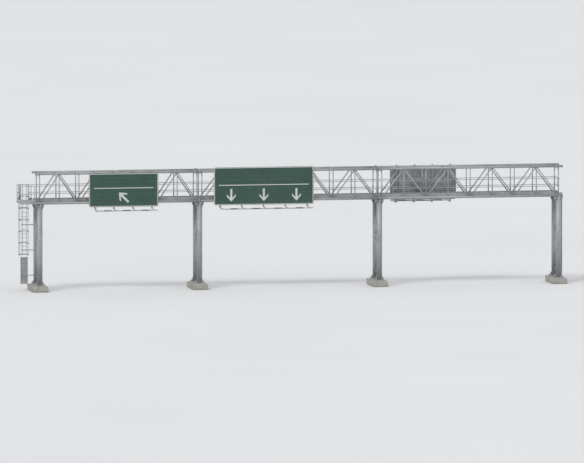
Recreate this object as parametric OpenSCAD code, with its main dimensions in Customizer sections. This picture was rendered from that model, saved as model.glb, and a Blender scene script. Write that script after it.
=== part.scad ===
// Overhead sign gantry: a box truss of steel tube carried over a slip road and
// two carriageways on four trestle legs, with a walkway inside it, an access
// ladder, three direction signs and their lighting.
// Millimetres. +X runs along the beam, +Y away from the front signs, +Z up.
// The origin is on the ground, under the middle of the gantry.

/* [Bays] */
// Width of the bay over the slip road, between leg centres
bay_1_w = 11500; // [10000:500:11500]
// Width of the bay over the near carriageway
bay_2_w = 13000; // [11000:500:13000]
// Width of the bay over the far carriageway
bay_3_w = 13000; // [11000:500:13000]

/* [Beam] */
// Height of the bottom chord's centre above the ground
chord_z = 6300; // [6100:50:6800]
// Depth of the truss between chord centres
truss_h = 2100; // [2000:50:2200]
// Width of the truss between chord centres
truss_w = 1500; // [1500:50:1600]
// Outside diameter of a chord tube
chord_d = 168.3; // [168.3, 177.8, 193.7]
// Outside diameter of a vertical
vert_d = 76.1; // [60.3, 76.1]
// Outside diameter of a diagonal
diag_d = 88.9; // [60.3, 76.1, 88.9]
// Outside diameter of a plan strut
strut_d = 76.1; // [60.3, 76.1]
// Outside diameter of a plan diagonal
plan_d = 60.3; // [48.3, 60.3]
// Diameter of a chord splice flange
flange_d = 290; // [280:10:300]
// Thickness of one splice flange
flange_t = 25; // [20:5:30]

/* [Legs] */
// Outside diameter of a leg post
post_d = 406.4; // [355.6, 406.4]
// Outside diameter of a trestle strut
leg_strut_d = 139.7; // [114.3, 139.7]
// Outside diameter of a trestle diagonal
leg_diag_d = 114.3; // [88.9, 114.3]
// Side of the square base plate
base_w = 750; // [700:10:760]
// Thickness of the base plate
base_t = 40; // [30:5:50]

/* [Plinths] */
// Length of a plinth along the beam
plinth_x = 1100; // [1050:10:1200]
// Width of a plinth across the beam
plinth_y = 2650; // [2600:50:2800]
// Height of a plinth above the ground
plinth_h = 400; // [350:50:450]
// Thickness of the grout bed under a base plate
grout_t = 30; // [20:5:40]
// Radius of the cable duct cast in the end plinth
duct_r = 50; // [40:5:50]

/* [Signs] */
// Width of the slip road sign
sign_1_w = 5000; // [4000:200:5400]
// Height of the slip road sign
sign_1_h = 2400; // [2400:50:2600]
// Width of the near carriageway sign
sign_2_w = 7200; // [6000:200:7200]
// Height of the near carriageway sign
sign_2_h = 2700; // [2550:50:2750]
// Width of the far carriageway sign
sign_3_w = 4800; // [4000:200:5000]
// Height of the far carriageway sign
sign_3_h = 2400; // [2400:50:2600]
// Height of the signs' bottom edge above the ground
sign_z = 6000; // [5950:10:6050]
// Thickness of a sign's faced planks
sign_t = 14; // [10:1:20]
// Corner radius of a sign
sign_r = 150; // [100:10:200]
// Reach of the lighting arms in front of a sign
light_out = 1330; // [1200:10:1400]

/* [Walkway] */
// Width of the walkway grating
walk_w = 1000; // [900:20:1000]
// Height of the guard rail above the grating
rail_h = 1100; // [1000:50:1150]
// Diameter of the guard rail tube
rail_d = 42.4; // [33.7, 42.4]

/* [Ladder] */
// Length of the landing at the ladder end
landing_l = 1100; // [1000:50:1150]
// Distance between the ladder stiles
ladder_w = 450; // [400:10:480]
// Outside radius of the safety cage hoops
hoop_r = 360; // [350:5:370]

/* [Hidden] */

STEEL = [0.60, 0.62, 0.63];
CONCRETE = [0.66, 0.64, 0.60];
SIGN_GREEN = [0.05, 0.30, 0.20];
ALUMINIUM = [0.70, 0.71, 0.72];
LAMP = [0.35, 0.36, 0.37];

// where things stand along X, measured from the first leg, then centred
end_out = 310;                                  // chord past the outer leg
total_w = bay_1_w + bay_2_w + bay_3_w;
x_low = -end_out - landing_l;
x_high = total_w + plinth_x / 2;
mid = (x_low + x_high) / 2;
leg_x = [-mid, bay_1_w - mid, bay_1_w + bay_2_w - mid, total_w - mid];

chord_flat = chord_d / 2 * cos(15);             // across-flats half of a 12-sided chord
vert_flat = vert_d / 2 * cos(22.5);
rail_flat = rail_d / 2 * cos(22.5);
strut_flat = strut_d / 2 * cos(22.5);
y_c = truss_w / 2;
z_b = chord_z;
z_t = chord_z + truss_h;
splice_off = 180;                               // vertical to splice plane
cap_t = 30;
z_cap = z_b - chord_flat - 99;                  // top of the cap plates
z_base = plinth_h + grout_t + base_t;           // top of the base plates
z_walk = z_b + strut_flat + 65;                 // underside of the grating
grate_t = 30;
z_tread = z_walk + grate_t;

// chord extent and panel points of each bay
chord_a = [leg_x[0] - end_out, leg_x[1], leg_x[2]];
chord_b = [leg_x[1], leg_x[2], leg_x[3] + end_out];
first_v = [leg_x[0], leg_x[1] + splice_off, leg_x[2] + splice_off];
last_v = [leg_x[1] - splice_off, leg_x[2] - splice_off, leg_x[3]];
panels = [8, 8, 8];
function px(b, k) = first_v[b] + (last_v[b] - first_v[b]) * k / panels[b];

sign_x = [leg_x[0] + 6000, leg_x[0] + 16100, leg_x[0] + 28000];
sign_w = [sign_1_w, sign_2_w, sign_3_w];
sign_h = [sign_1_h, sign_2_h, sign_3_h];
sign_side = [-1, -1, 1];                        // -1 faces -Y, 1 faces +Y
sign_posts = [4, 5, 4];
rail_gap = 62;                                  // chord to sign post
post_y = 120;                                   // sign post, depth
post_x = 80;                                    // sign post, width
chan_y = 40;                                    // horizontal sign rail, depth
chan_z = 60;

// ---------------------------------------------------------------- helpers
// straight bar of n sides from a to b
module bar(a, b, d, n = 8, spin = 22.5) {
  v = b - a;
  l = norm(v);
  translate(a) rotate([0, acos(v[2] / l), atan2(v[1], v[0])])
    rotate([0, 0, spin]) cylinder(h = l, d = d, $fn = n);
}

// box from its lowest to its highest corner
module block(a, b) { translate(a) cube(b - a); }

// where the cable riser stands, from the centre of the last leg
riser_x = 400;
riser_w = 120;
riser_y = 545;

// the round of both posts of a leg, for trimming what is fixed to them
module post_rounds(i) {
  for (s = [-1, 1]) translate([leg_x[i], s * y_c, plinth_h]) cylinder(h = z_cap - plinth_h, d = post_d, $fn = 48);
}

// ---------------------------------------------------------------- plinths
module plinth(i) {
  color(CONCRETE) translate([leg_x[i], 0, 0]) difference() {
    union() {
      // body with chamfered top edges
      intersection() {
        translate([-plinth_x / 2, -plinth_y / 2, 0]) cube([plinth_x, plinth_y, plinth_h]);
        rotate([90, 0, 90]) translate([0, 0, -plinth_x / 2 - 1]) linear_extrude(plinth_x + 2)
          polygon([[-plinth_y / 2, -1], [plinth_y / 2, -1], [plinth_y / 2, plinth_h - 25],
                   [plinth_y / 2 - 25, plinth_h], [-plinth_y / 2 + 25, plinth_h], [-plinth_y / 2, plinth_h - 25]]);
        rotate([90, 0, 0]) translate([0, 0, -plinth_y / 2 - 1]) linear_extrude(plinth_y + 2)
          polygon([[-plinth_x / 2, -1], [plinth_x / 2, -1], [plinth_x / 2, plinth_h - 25],
                   [plinth_x / 2 - 25, plinth_h], [-plinth_x / 2 + 25, plinth_h], [-plinth_x / 2, plinth_h - 25]]);
      }
      // grout beds
      for (s = [-1, 1]) translate([-base_w / 2 - 15, s * y_c - base_w / 2 - 15, plinth_h - 5])
        cube([base_w + 30, base_w + 30, grout_t + 5]);
    }
    // cable duct in the plinth at the supply end
    if (i == 3) translate([riser_x + riser_w / 2, riser_y, -1]) cylinder(h = plinth_h + 2, r = duct_r, $fn = 48);
  }
}

// ---------------------------------------------------------------- legs
module leg_post(s) {
  translate([0, s * y_c, 0]) {
    // base plate, tube, cap plate
    block([-base_w / 2, -base_w / 2, plinth_h + grout_t], [base_w / 2, base_w / 2, z_base]);
    translate([0, 0, z_base - 5]) cylinder(h = z_cap - cap_t - z_base + 10, d = post_d, $fn = 48);
    block([-310, -210, z_cap - cap_t], [310, 210, z_cap]);
    // stiffening ribs at the foot
    for (a = [0:45:315]) rotate([0, 0, a]) rotate([90, 0, 0]) translate([0, 0, -8]) linear_extrude(16)
      polygon([[post_d / 2 - 20, z_base - 5], [post_d / 2 + 150, z_base - 5], [post_d / 2 + 150, z_base + 40],
               [post_d / 2 + 15, z_base + 260], [post_d / 2 - 20, z_base + 260]]);
    // ribs under the cap plate
    for (a = [0, 180]) rotate([0, 0, a]) rotate([90, 0, 0]) translate([0, 0, -8]) linear_extrude(16)
      polygon([[post_d / 2 - 20, z_cap - cap_t + 2], [300, z_cap - cap_t + 2], [300, z_cap - cap_t - 30],
               [post_d / 2 + 10, z_cap - cap_t - 220], [post_d / 2 - 20, z_cap - cap_t - 220]]);
    // saddles either side of the splice
    for (m = [-1, 1]) translate([m * 205, 0, 0])
      block([-95, -80, z_cap - 2], [95, 80, z_b - chord_flat]);
  }
}

module leg(i) {
  color(STEEL) translate([leg_x[i], 0, 0]) {
    leg_post(-1);
    leg_post(1);
  }
}

// struts and crossed diagonals between the posts of every leg
module leg_bracing() {
  z = [1000, 3400, 5800];
  color(STEEL) for (i = [0:3]) difference() {
    translate([leg_x[i], 0, 0]) union() {
      for (h = z) bar([0, -y_c, h], [0, y_c, h], leg_strut_d);
      for (k = [0, 1]) {
        bar([0, -y_c, z[k]], [0, y_c, z[k + 1]], leg_diag_d);
        bar([0, y_c, z[k]], [0, -y_c, z[k + 1]], leg_diag_d);
      }
    }
    post_rounds(i);
  }
}

// ---------------------------------------------------------------- beam
module chord(b, z) {
  translate([chord_a[b], 0, z]) rotate([0, 90, 0]) rotate([0, 0, 15])
    cylinder(h = chord_b[b] - chord_a[b], d = chord_d, $fn = 12);
  // splice flanges, where one bay is bolted to the next
  for (e = [0, 1]) if (!(b == 0 && e == 0) && !(b == 2 && e == 1)) {
    x = e == 0 ? chord_a[b] : chord_b[b] - flange_t;
    translate([x, 0, z]) rotate([0, 90, 0]) rotate([0, 0, 15]) cylinder(h = flange_t, d = flange_d, $fn = 12);
  }
}

module side_lattice(b, side) {
  color(STEEL) translate([0, side * y_c, 0]) union() {
    chord(b, z_b);
    chord(b, z_t);
    for (k = [0:panels[b]]) bar([px(b, k), 0, z_b], [px(b, k), 0, z_t], vert_d);
    for (k = [0:panels[b] - 1]) {
      up = k % 2 == 0;
      bar([px(b, k), 0, up ? z_b : z_t], [px(b, k + 1), 0, up ? z_t : z_b], diag_d);
    }
  }
}

// struts, plan diagonals and gusset plates between the two lattices
module plan_bracing(b, z) {
  y_in = y_c - chord_flat;
  for (k = [0:panels[b]]) {
    bar([px(b, k), -y_in, z], [px(b, k), y_in, z], strut_d);
    for (s = [-1, 1]) {
      lo = k == 0 ? -60 : -150;
      hi = k == panels[b] ? 60 : 150;
      block([px(b, k) + lo, s > 0 ? y_in - 120 : -y_in, z - 6],
            [px(b, k) + hi, s > 0 ? y_in : -y_in + 120, z + 6]);
    }
  }
  for (k = [0:panels[b] - 1]) {
    s = k % 2 == 0 ? 1 : -1;
    bar([px(b, k) + 70, -s * (y_in - 40), z], [px(b, k + 1) - 70, s * (y_in - 40), z], plan_d);
  }
}

module roof_bracing(b) {
  color(STEEL) plan_bracing(b, z_t);
}

// knee braces of the cross frames at the legs
module knee_braces() {
  y_v = y_c - vert_flat;
  color(STEEL) for (x = [px(0, 0), px(0, panels[0]), px(1, 0), px(1, panels[1]), px(2, 0), px(2, panels[2])])
    intersection() {
      for (s = [-1, 1]) bar([x, s * (y_v + 60), z_t - 420 - 60], [x, s * (y_v - 400), z_t - 20], 48.3);
      block([x - 40, -y_v, z_t - 600], [x + 40, y_v, z_t - strut_flat]);
    }
}

module floor_frame(b) {
  color(STEEL) union() {
    plan_bracing(b, z_b);
    // stringers under the walkway
    for (s = [-1, 1]) block([chord_a[b] + 10, s * 445 - 25, z_b + strut_flat - 6],
                            [chord_b[b] - 10, s * 445 + 25, z_walk]);
  }
}

// three lengths of grating on the stringers, with toe boards beside them that
// stand on the floor struts
module walkway() {
  h = walk_w / 2;
  color(STEEL) for (b = [0:2]) {
    a = chord_a[b] + 5;
    z = b == 2 ? leg_x[3] + 100 : chord_b[b] - 5;
    block([a, -h + 10, z_walk], [b == 2 ? z - 10 : z, h - 10, z_tread]);
    for (s = [-1, 1]) block([a, s * (h - 4) - 4, z_b + strut_flat], [z, s * (h - 4) + 4, z_tread + 150]);
    // kick plate across the far end
    if (b == 2) block([z - 8, -h + 10, z_walk], [z, h - 10, z_tread + 150]);
  }
}

// two rails a side, clipped to the lattice's verticals
module guard_rails(b) {
  y_v = y_c - vert_flat;
  y_r = y_v - 12 - rail_flat;
  x1 = b == 2 ? leg_x[3] + 30 : chord_b[b] - 10;
  if (b == 2) end_rails();
  color(STEEL) for (s = [-1, 1]) union() {
    for (h = [rail_h / 2, rail_h]) bar([chord_a[b] + 10, s * y_r, z_tread + h], [x1, s * y_r, z_tread + h], rail_d);
    for (k = [0:panels[b]]) block([px(b, k) - 20, s > 0 ? y_r : -y_v, z_tread + rail_h / 2 - 60],
                                  [px(b, k) + 20, s > 0 ? y_v : -y_r, z_tread + rail_h + 40]);
  }
}

// rails across the far end of the walkway
module end_rails() {
  x_r = leg_x[3] + vert_flat + 12 + rail_flat;
  color(STEEL) union() {
    for (h = [rail_h / 2, rail_h]) bar([x_r, -y_c - 30, z_tread + h], [x_r, y_c + 30, z_tread + h], rail_d);
    for (s = [-1, 1]) block([leg_x[3] + vert_flat, s * y_c - 20, z_tread + rail_h / 2 - 60],
                            [x_r, s * y_c + 20, z_tread + rail_h + 40]);
    bar([x_r, 0, z_tread + rail_h / 2], [x_r, 0, z_tread + rail_h], 33.7);
  }
}

// ---------------------------------------------------------------- ladder end
land_x1 = leg_x[0] - end_out;
land_x0 = land_x1 - landing_l;
land_y = y_c + 40;
lad_x = (land_x0 + land_x1) / 2;
lad_y = land_y + 50 + 32;                       // centre of the stiles and rungs
stile_o = ladder_w / 2 + 6;
z_rail = z_tread + rail_h;

module landing() {
  color(STEEL) union() {
    // cantilever beams in line with the bottom chords
    for (s = [-1, 1]) block([land_x0, s * y_c - 40, z_b - 50], [land_x1, s * y_c + 40, z_b + 50]);
    for (x = [land_x0, lad_x - 25, land_x1 - 50]) block([x, -land_y, z_b + 45], [x + 50, land_y, z_walk + 5]);
    block([land_x0, -land_y, z_walk], [land_x1, land_y, z_tread]);
    // kick plates, open at the ladder
    block([land_x0, -land_y, z_walk], [land_x0 + 8, land_y, z_tread + 150]);
    block([land_x0, -land_y, z_walk], [land_x1, -land_y + 8, z_tread + 150]);
    block([land_x0, land_y - 8, z_walk], [lad_x - 300, land_y, z_tread + 150]);
    block([lad_x + 300, land_y - 8, z_walk], [land_x1, land_y, z_tread + 150]);
  }
}

module landing_guard_rail() {
  x0 = land_x0 + 8 + 24.15 * cos(22.5);
  x1 = land_x1 - 60;
  y0 = land_y - 8 - 24.15 * cos(22.5);
  color(STEEL) union() {
    for (h = [rail_h / 2, rail_h]) {
      bar([x0, -y0, z_tread + h], [x1, -y0, z_tread + h], rail_d);
      bar([x0, -y0, z_tread + h], [x0, y0, z_tread + h], rail_d);
      bar([x0, y0, z_tread + h], [lad_x - 330, y0, z_tread + h], rail_d);
      bar([lad_x + 330, y0, z_tread + h], [x1, y0, z_tread + h], rail_d);
    }
    for (p = [[x0, -y0], [x1, -y0], [x0, 0], [x0, y0], [lad_x - 330, y0], [lad_x + 330, y0], [x1, y0]])
      bar([p[0], p[1], z_tread], [p[0], p[1], z_rail + 4], 48.3);
  }
}

lad_z = 300;                                    // foot of the stiles

module ladder_stiles() {
  color(STEEL) for (s = [-1, 1]) translate([lad_x + s * (stile_o - 6), 0, 0]) union() {
    block([-6, lad_y - 32, lad_z], [6, lad_y + 32, z_rail]);
    // cleat to the edge of the landing
    block([-6, land_y, z_walk - 50], [6, lad_y, z_tread]);
  }
}

module ladder_rungs() {
  e = stile_o - 12;
  color(STEEL) for (z = [lad_z + 130:300:z_tread]) bar([lad_x - e, lad_y, z], [lad_x + e, lad_y, z], 25);
}

// rails from the stiles back to the rear post of the first leg
module ladder_brackets() {
  color(STEEL) difference() {
    for (z = [1060, 2860, 4660])
      block([lad_x - stile_o, lad_y - 92, z - 30], [leg_x[0] - 100, lad_y - 32, z + 30]);
    post_rounds(0);
  }
}

// the cage's own centre line, and its lowest and highest hoop
cage_y = lad_y + 32;                            // front of the stiles
cage_c = cage_y + 330;                          // centre of the round back
cage_lo = 2500;
cage_hi = z_rail - 60;

module ladder_cage_hoops() {
  color(STEEL) translate([lad_x, 0, 0]) for (k = [0:6])
    translate([0, 0, cage_lo + (cage_hi - cage_lo) * k / 6 - 25]) union() {
      translate([0, cage_c, 0]) difference() {
        cylinder(h = 50, r = hoop_r, $fn = 48);
        translate([0, 0, -1]) cylinder(h = 52, r = hoop_r - 8, $fn = 48);
        translate([-hoop_r - 1, -hoop_r - 1, -1]) cube([2 * hoop_r + 2, hoop_r + 1, 52]);
      }
      // straight sides, turned in to the stiles
      for (s = [-1, 1]) {
        block([s > 0 ? hoop_r - 8 : -hoop_r, cage_y, 0], [s > 0 ? hoop_r : -hoop_r + 8, cage_c + 1, 50]);
        block([s > 0 ? stile_o - 12 : -hoop_r, cage_y, 0], [s > 0 ? hoop_r : -stile_o + 12, cage_y + 8, 50]);
      }
    }
}

// upright straps inside the hoops
module ladder_cage_straps() {
  r = hoop_r - 8;
  color(STEEL) translate([lad_x, 0, 0]) {
    for (a = [0, 45, 90, 135, 180]) translate([0, cage_c, 0]) rotate([0, 0, a])
      block([sqrt(r * r - 400) - 8, -20, cage_lo - 25], [sqrt(r * r - 400), 20, cage_hi + 25]);
    for (s = [-1, 1]) block([s > 0 ? r - 8 : -r, cage_y + 120, cage_lo - 25],
                            [s > 0 ? r : -r + 8, cage_y + 160, cage_hi + 25]);
  }
}

module ladder_guard_plate() {
  color(STEEL) block([lad_x - stile_o - 30, lad_y + 32, 450], [lad_x + stile_o + 30, lad_y + 40, 2350]);
}

// ---------------------------------------------------------------- signs
module sign_place(n) {
  translate([sign_x[n], 0, 0]) mirror([0, sign_side[n] > 0 ? 1 : 0, 0]) children();
}
y_post = y_c + chord_flat + rail_gap;           // back of the sign posts
y_face = y_post + post_y + chan_y;              // back of the planks

module rounded_plate(w, h, r, t) {
  linear_extrude(t) union() {
    translate([-w / 2 + r, 0]) square([w - 2 * r, h]);
    translate([-w / 2, r]) square([w, h - 2 * r]);
    for (x = [-w / 2 + r, w / 2 - r]) for (y = [r, h - r]) translate([x, y]) circle(r = r, $fn = 48);
  }
}

module sign_panel(n) {
  color(SIGN_GREEN) sign_place(n) translate([0, -y_face, sign_z]) rotate([90, 0, 0])
    rounded_plate(sign_w[n], sign_h[n], sign_r, sign_t);
}

function sp(n, k) = (k - (sign_posts[n] - 1) / 2) * (sign_w[n] - 900) / (sign_posts[n] - 1);

module sign_frame(n) {
  rows = 5;
  color(ALUMINIUM) sign_place(n) union() {
    for (k = [0:sign_posts[n] - 1]) {
      block([sp(n, k) - post_x / 2, -y_post - post_y, sign_z - 140], [sp(n, k) + post_x / 2, -y_post, max(z_t + 130, sign_z + sign_h[n] - 60)]);
      for (z = [z_b, z_t]) block([sp(n, k) - 60, -y_post - 5, z - 70], [sp(n, k) + 60, -y_c - chord_flat, z + 70]);
    }
    for (r = [0:rows - 1]) {
      z = sign_z + 150 + (sign_h[n] - 300) * r / (rows - 1);
      block([-sign_w[n] / 2 + 60, -y_face, z - chan_z / 2], [sign_w[n] / 2 - 60, -y_post - post_y + 4, z + chan_z / 2]);
    }
  }
}

module sign_lighting(n) {
  lamps = sign_posts[n] - 1;
  z_arm = sign_z - 100;
  y_end = y_face + sign_t + light_out;
  color(LAMP) sign_place(n) union() {
    // arms under the sign posts, and the rail that carries the lamps
    for (k = [0:sign_posts[n] - 1]) block([sp(n, k) - 25, -y_end + 60, z_arm - 90], [sp(n, k) + 25, -y_post - 10, z_arm - 40]);
    block([sp(n, 0) - 200, -y_end + 60, z_arm - 95], [sp(n, sign_posts[n] - 1) + 200, -y_end + 120, z_arm - 35]);
    for (k = [0:lamps - 1]) {
      x = (sp(n, k) + sp(n, k + 1)) / 2;
      block([x - 260, -y_end, z_arm - 110], [x + 260, -y_end + 210, z_arm]);
    }
  }
}

// ---------------------------------------------------------------- services
// trunking along the floor and down the last leg to the duct
module cable_trunking() {
  x_r = leg_x[3] + riser_x;
  z_f = z_b + strut_flat;
  color(ALUMINIUM) difference() {
    union() {
      block([chord_a[0] + 10, riser_y - 40, z_f], [x_r + riser_w, riser_y + 40, z_f + 60]);
      block([x_r, riser_y - riser_w / 2, plinth_h], [x_r + riser_w, riser_y + riser_w / 2, z_f + 60]);
      // brackets back to the post
      for (z = [1400, 2900, 4400, 5700]) block([leg_x[3] + 60, riser_y + 25, z - 20], [x_r + 5, riser_y + 55, z + 20]);
    }
    post_rounds(3);
  }
}

module isolator_cabinet() {
  color(LAMP) difference() {
    translate([leg_x[3], 0, 0]) union() {
      block([110, -300, 1500], [360, 300, 2300]);
      for (z = [1600, 2160]) block([80, -y_c + 60, z], [115, y_c - 60, z + 40]);
    }
    post_rounds(3);
  }
}

plinth(0);  // plinth_1
plinth(1);  // plinth_2
plinth(2);  // plinth_3
plinth(3);  // plinth_4
leg(0);  // leg_1
leg(1);  // leg_2
leg(2);  // leg_3
leg(3);  // leg_4
leg_bracing();
side_lattice(0, -1);  // bay_1_front_lattice
side_lattice(0, 1);  // bay_1_rear_lattice
roof_bracing(0);  // bay_1_roof_bracing
floor_frame(0);  // bay_1_floor_frame
side_lattice(1, -1);  // bay_2_front_lattice
side_lattice(1, 1);  // bay_2_rear_lattice
roof_bracing(1);  // bay_2_roof_bracing
floor_frame(1);  // bay_2_floor_frame
side_lattice(2, -1);  // bay_3_front_lattice
side_lattice(2, 1);  // bay_3_rear_lattice
roof_bracing(2);  // bay_3_roof_bracing
floor_frame(2);  // bay_3_floor_frame
walkway();
guard_rails(0);  // bay_1_guard_rails
guard_rails(1);  // bay_2_guard_rails
guard_rails(2);  // bay_3_guard_rails
knee_braces();
landing();
landing_guard_rail();
ladder_stiles();
ladder_rungs();
ladder_brackets();
ladder_cage_hoops();
ladder_cage_straps();
ladder_guard_plate();
sign_panel(0);  // sign_1_panel
sign_frame(0);  // sign_1_frame
sign_lighting(0);  // sign_1_lighting
sign_panel(1);  // sign_2_panel
sign_frame(1);  // sign_2_frame
sign_lighting(1);  // sign_2_lighting
sign_panel(2);  // sign_3_panel
sign_frame(2);  // sign_3_frame
sign_lighting(2);  // sign_3_lighting
cable_trunking();
isolator_cabinet();
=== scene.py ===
import bpy
import math
import random
import numpy as np
from mathutils import Vector, Matrix, noise


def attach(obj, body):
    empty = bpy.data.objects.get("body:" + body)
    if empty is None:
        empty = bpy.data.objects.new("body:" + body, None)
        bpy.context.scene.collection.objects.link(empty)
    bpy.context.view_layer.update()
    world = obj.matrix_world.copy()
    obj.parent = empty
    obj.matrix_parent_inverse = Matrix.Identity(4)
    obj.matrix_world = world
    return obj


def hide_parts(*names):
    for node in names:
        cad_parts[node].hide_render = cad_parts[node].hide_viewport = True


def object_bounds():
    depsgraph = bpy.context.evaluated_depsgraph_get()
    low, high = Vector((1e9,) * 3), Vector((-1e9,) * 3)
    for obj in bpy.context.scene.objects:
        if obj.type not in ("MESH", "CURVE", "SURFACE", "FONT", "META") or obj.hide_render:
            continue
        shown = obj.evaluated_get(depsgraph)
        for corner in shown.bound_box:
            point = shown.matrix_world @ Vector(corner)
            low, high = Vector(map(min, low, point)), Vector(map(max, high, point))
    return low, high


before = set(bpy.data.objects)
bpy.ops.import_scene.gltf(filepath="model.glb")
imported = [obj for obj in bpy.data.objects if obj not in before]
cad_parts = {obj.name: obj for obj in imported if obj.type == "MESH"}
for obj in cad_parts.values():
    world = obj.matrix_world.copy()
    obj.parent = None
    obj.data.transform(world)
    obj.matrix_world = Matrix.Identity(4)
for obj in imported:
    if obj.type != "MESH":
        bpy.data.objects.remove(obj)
cad_lo, cad_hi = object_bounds()
random.seed(41)
RNG = np.random.default_rng(41)

# =====================================================================
# Dimensions, in metres, as in the solids
# =====================================================================
BAY = (11.5, 13.0, 13.0)
END_OUT, LAND_L = 0.310, 1.1
TOTAL = sum(BAY)
MID = (-END_OUT - LAND_L + TOTAL + 0.55) / 2
LEG = [-MID, BAY[0] - MID, BAY[0] + BAY[1] - MID, TOTAL - MID]
Y_C, Z_B, Z_T = 0.75, 6.3, 8.4
C8, C15 = math.cos(math.radians(22.5)), math.cos(math.radians(15))
R_CH, R_V, R_D, R_S, R_P = 0.16830 / 2, 0.0761 / 2, 0.0889 / 2, 0.0761 / 2, 0.0603 / 2
CH_FLAT, V_FLAT, S_FLAT, RAIL_FLAT = R_CH * C15, R_V * C8, R_S * C8, 0.0424 / 2 * C8
R_RAIL, R_FL, T_FL = 0.0212, 0.145, 0.025
Z_CAP = Z_B - CH_FLAT - 0.099
Z_BASE = 0.470
Z_WALK = Z_B + S_FLAT + 0.065
Z_TREAD = Z_WALK + 0.030
Z_RAIL = Z_TREAD + 1.1
R_POST = 0.2032
CH_A = [LEG[0] - END_OUT, LEG[1], LEG[2]]
CH_B = [LEG[1], LEG[2], LEG[3] + END_OUT]
F_V = [LEG[0], LEG[1] + 0.18, LEG[2] + 0.18]
L_V = [LEG[1] - 0.18, LEG[2] - 0.18, LEG[3]]
NP = 8


def px(b, k):
    return F_V[b] + (L_V[b] - F_V[b]) * k / NP


SIGN_X = [LEG[0] + 6.0, LEG[0] + 16.1, LEG[0] + 28.0]
SIGN_W, SIGN_H, SIGN_S, SIGN_P = (5.0, 7.2, 4.8), (2.4, 2.7, 2.4), (-1, -1, 1), (4, 5, 4)
Z_SIGN, T_SIGN, R_SIGN = 6.0, 0.014, 0.15
Y_POST = Y_C + CH_FLAT + 0.062
Y_FACE = Y_POST + 0.120 + 0.040
Y_END = Y_FACE + T_SIGN + 1.33
Z_ARM = Z_SIGN - 0.1


def sp(n, k):
    return (k - (SIGN_P[n] - 1) / 2) * (SIGN_W[n] - 0.9) / (SIGN_P[n] - 1)


LX1 = LEG[0] - END_OUT
LX0 = LX1 - LAND_L
LY = Y_C + 0.04
LAD_X, LAD_Y = (LX0 + LX1) / 2, LY + 0.082
STILE = 0.45 / 2 + 0.006
CAGE_Y = LAD_Y + 0.032
CAGE_C = CAGE_Y + 0.33
HOOP_R = 0.36

# =====================================================================
# Camera: the gantry from the front, a little to the ladder end and from
# above, through a very long lens from about a kilometre away
# =====================================================================
AZ, EL, DIST = math.radians(-10.0), math.radians(5.2), 1050.0
W_IMG, H_IMG = 584, 463
cam = bpy.data.objects.new("camera", bpy.data.cameras.new("camera"))
bpy.context.scene.collection.objects.link(cam)
cam.data.sensor_width = 36.0
aim = Vector(((cad_lo.x + cad_hi.x) / 2, 0.0, 3.95))
back = Vector((math.sin(AZ) * math.cos(EL), -math.cos(AZ) * math.cos(EL), math.sin(EL)))
cam.location = aim + back * DIST
cam.rotation_mode = "QUATERNION"
cam.rotation_quaternion = (-back).to_track_quat("-Z", "Y")
cam.data.lens = 36.0 * DIST / 41.6
cam.data.clip_start, cam.data.clip_end = 10.0, 4000.0
bpy.context.scene.camera = cam

# =====================================================================
# Materials
# =====================================================================


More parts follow.
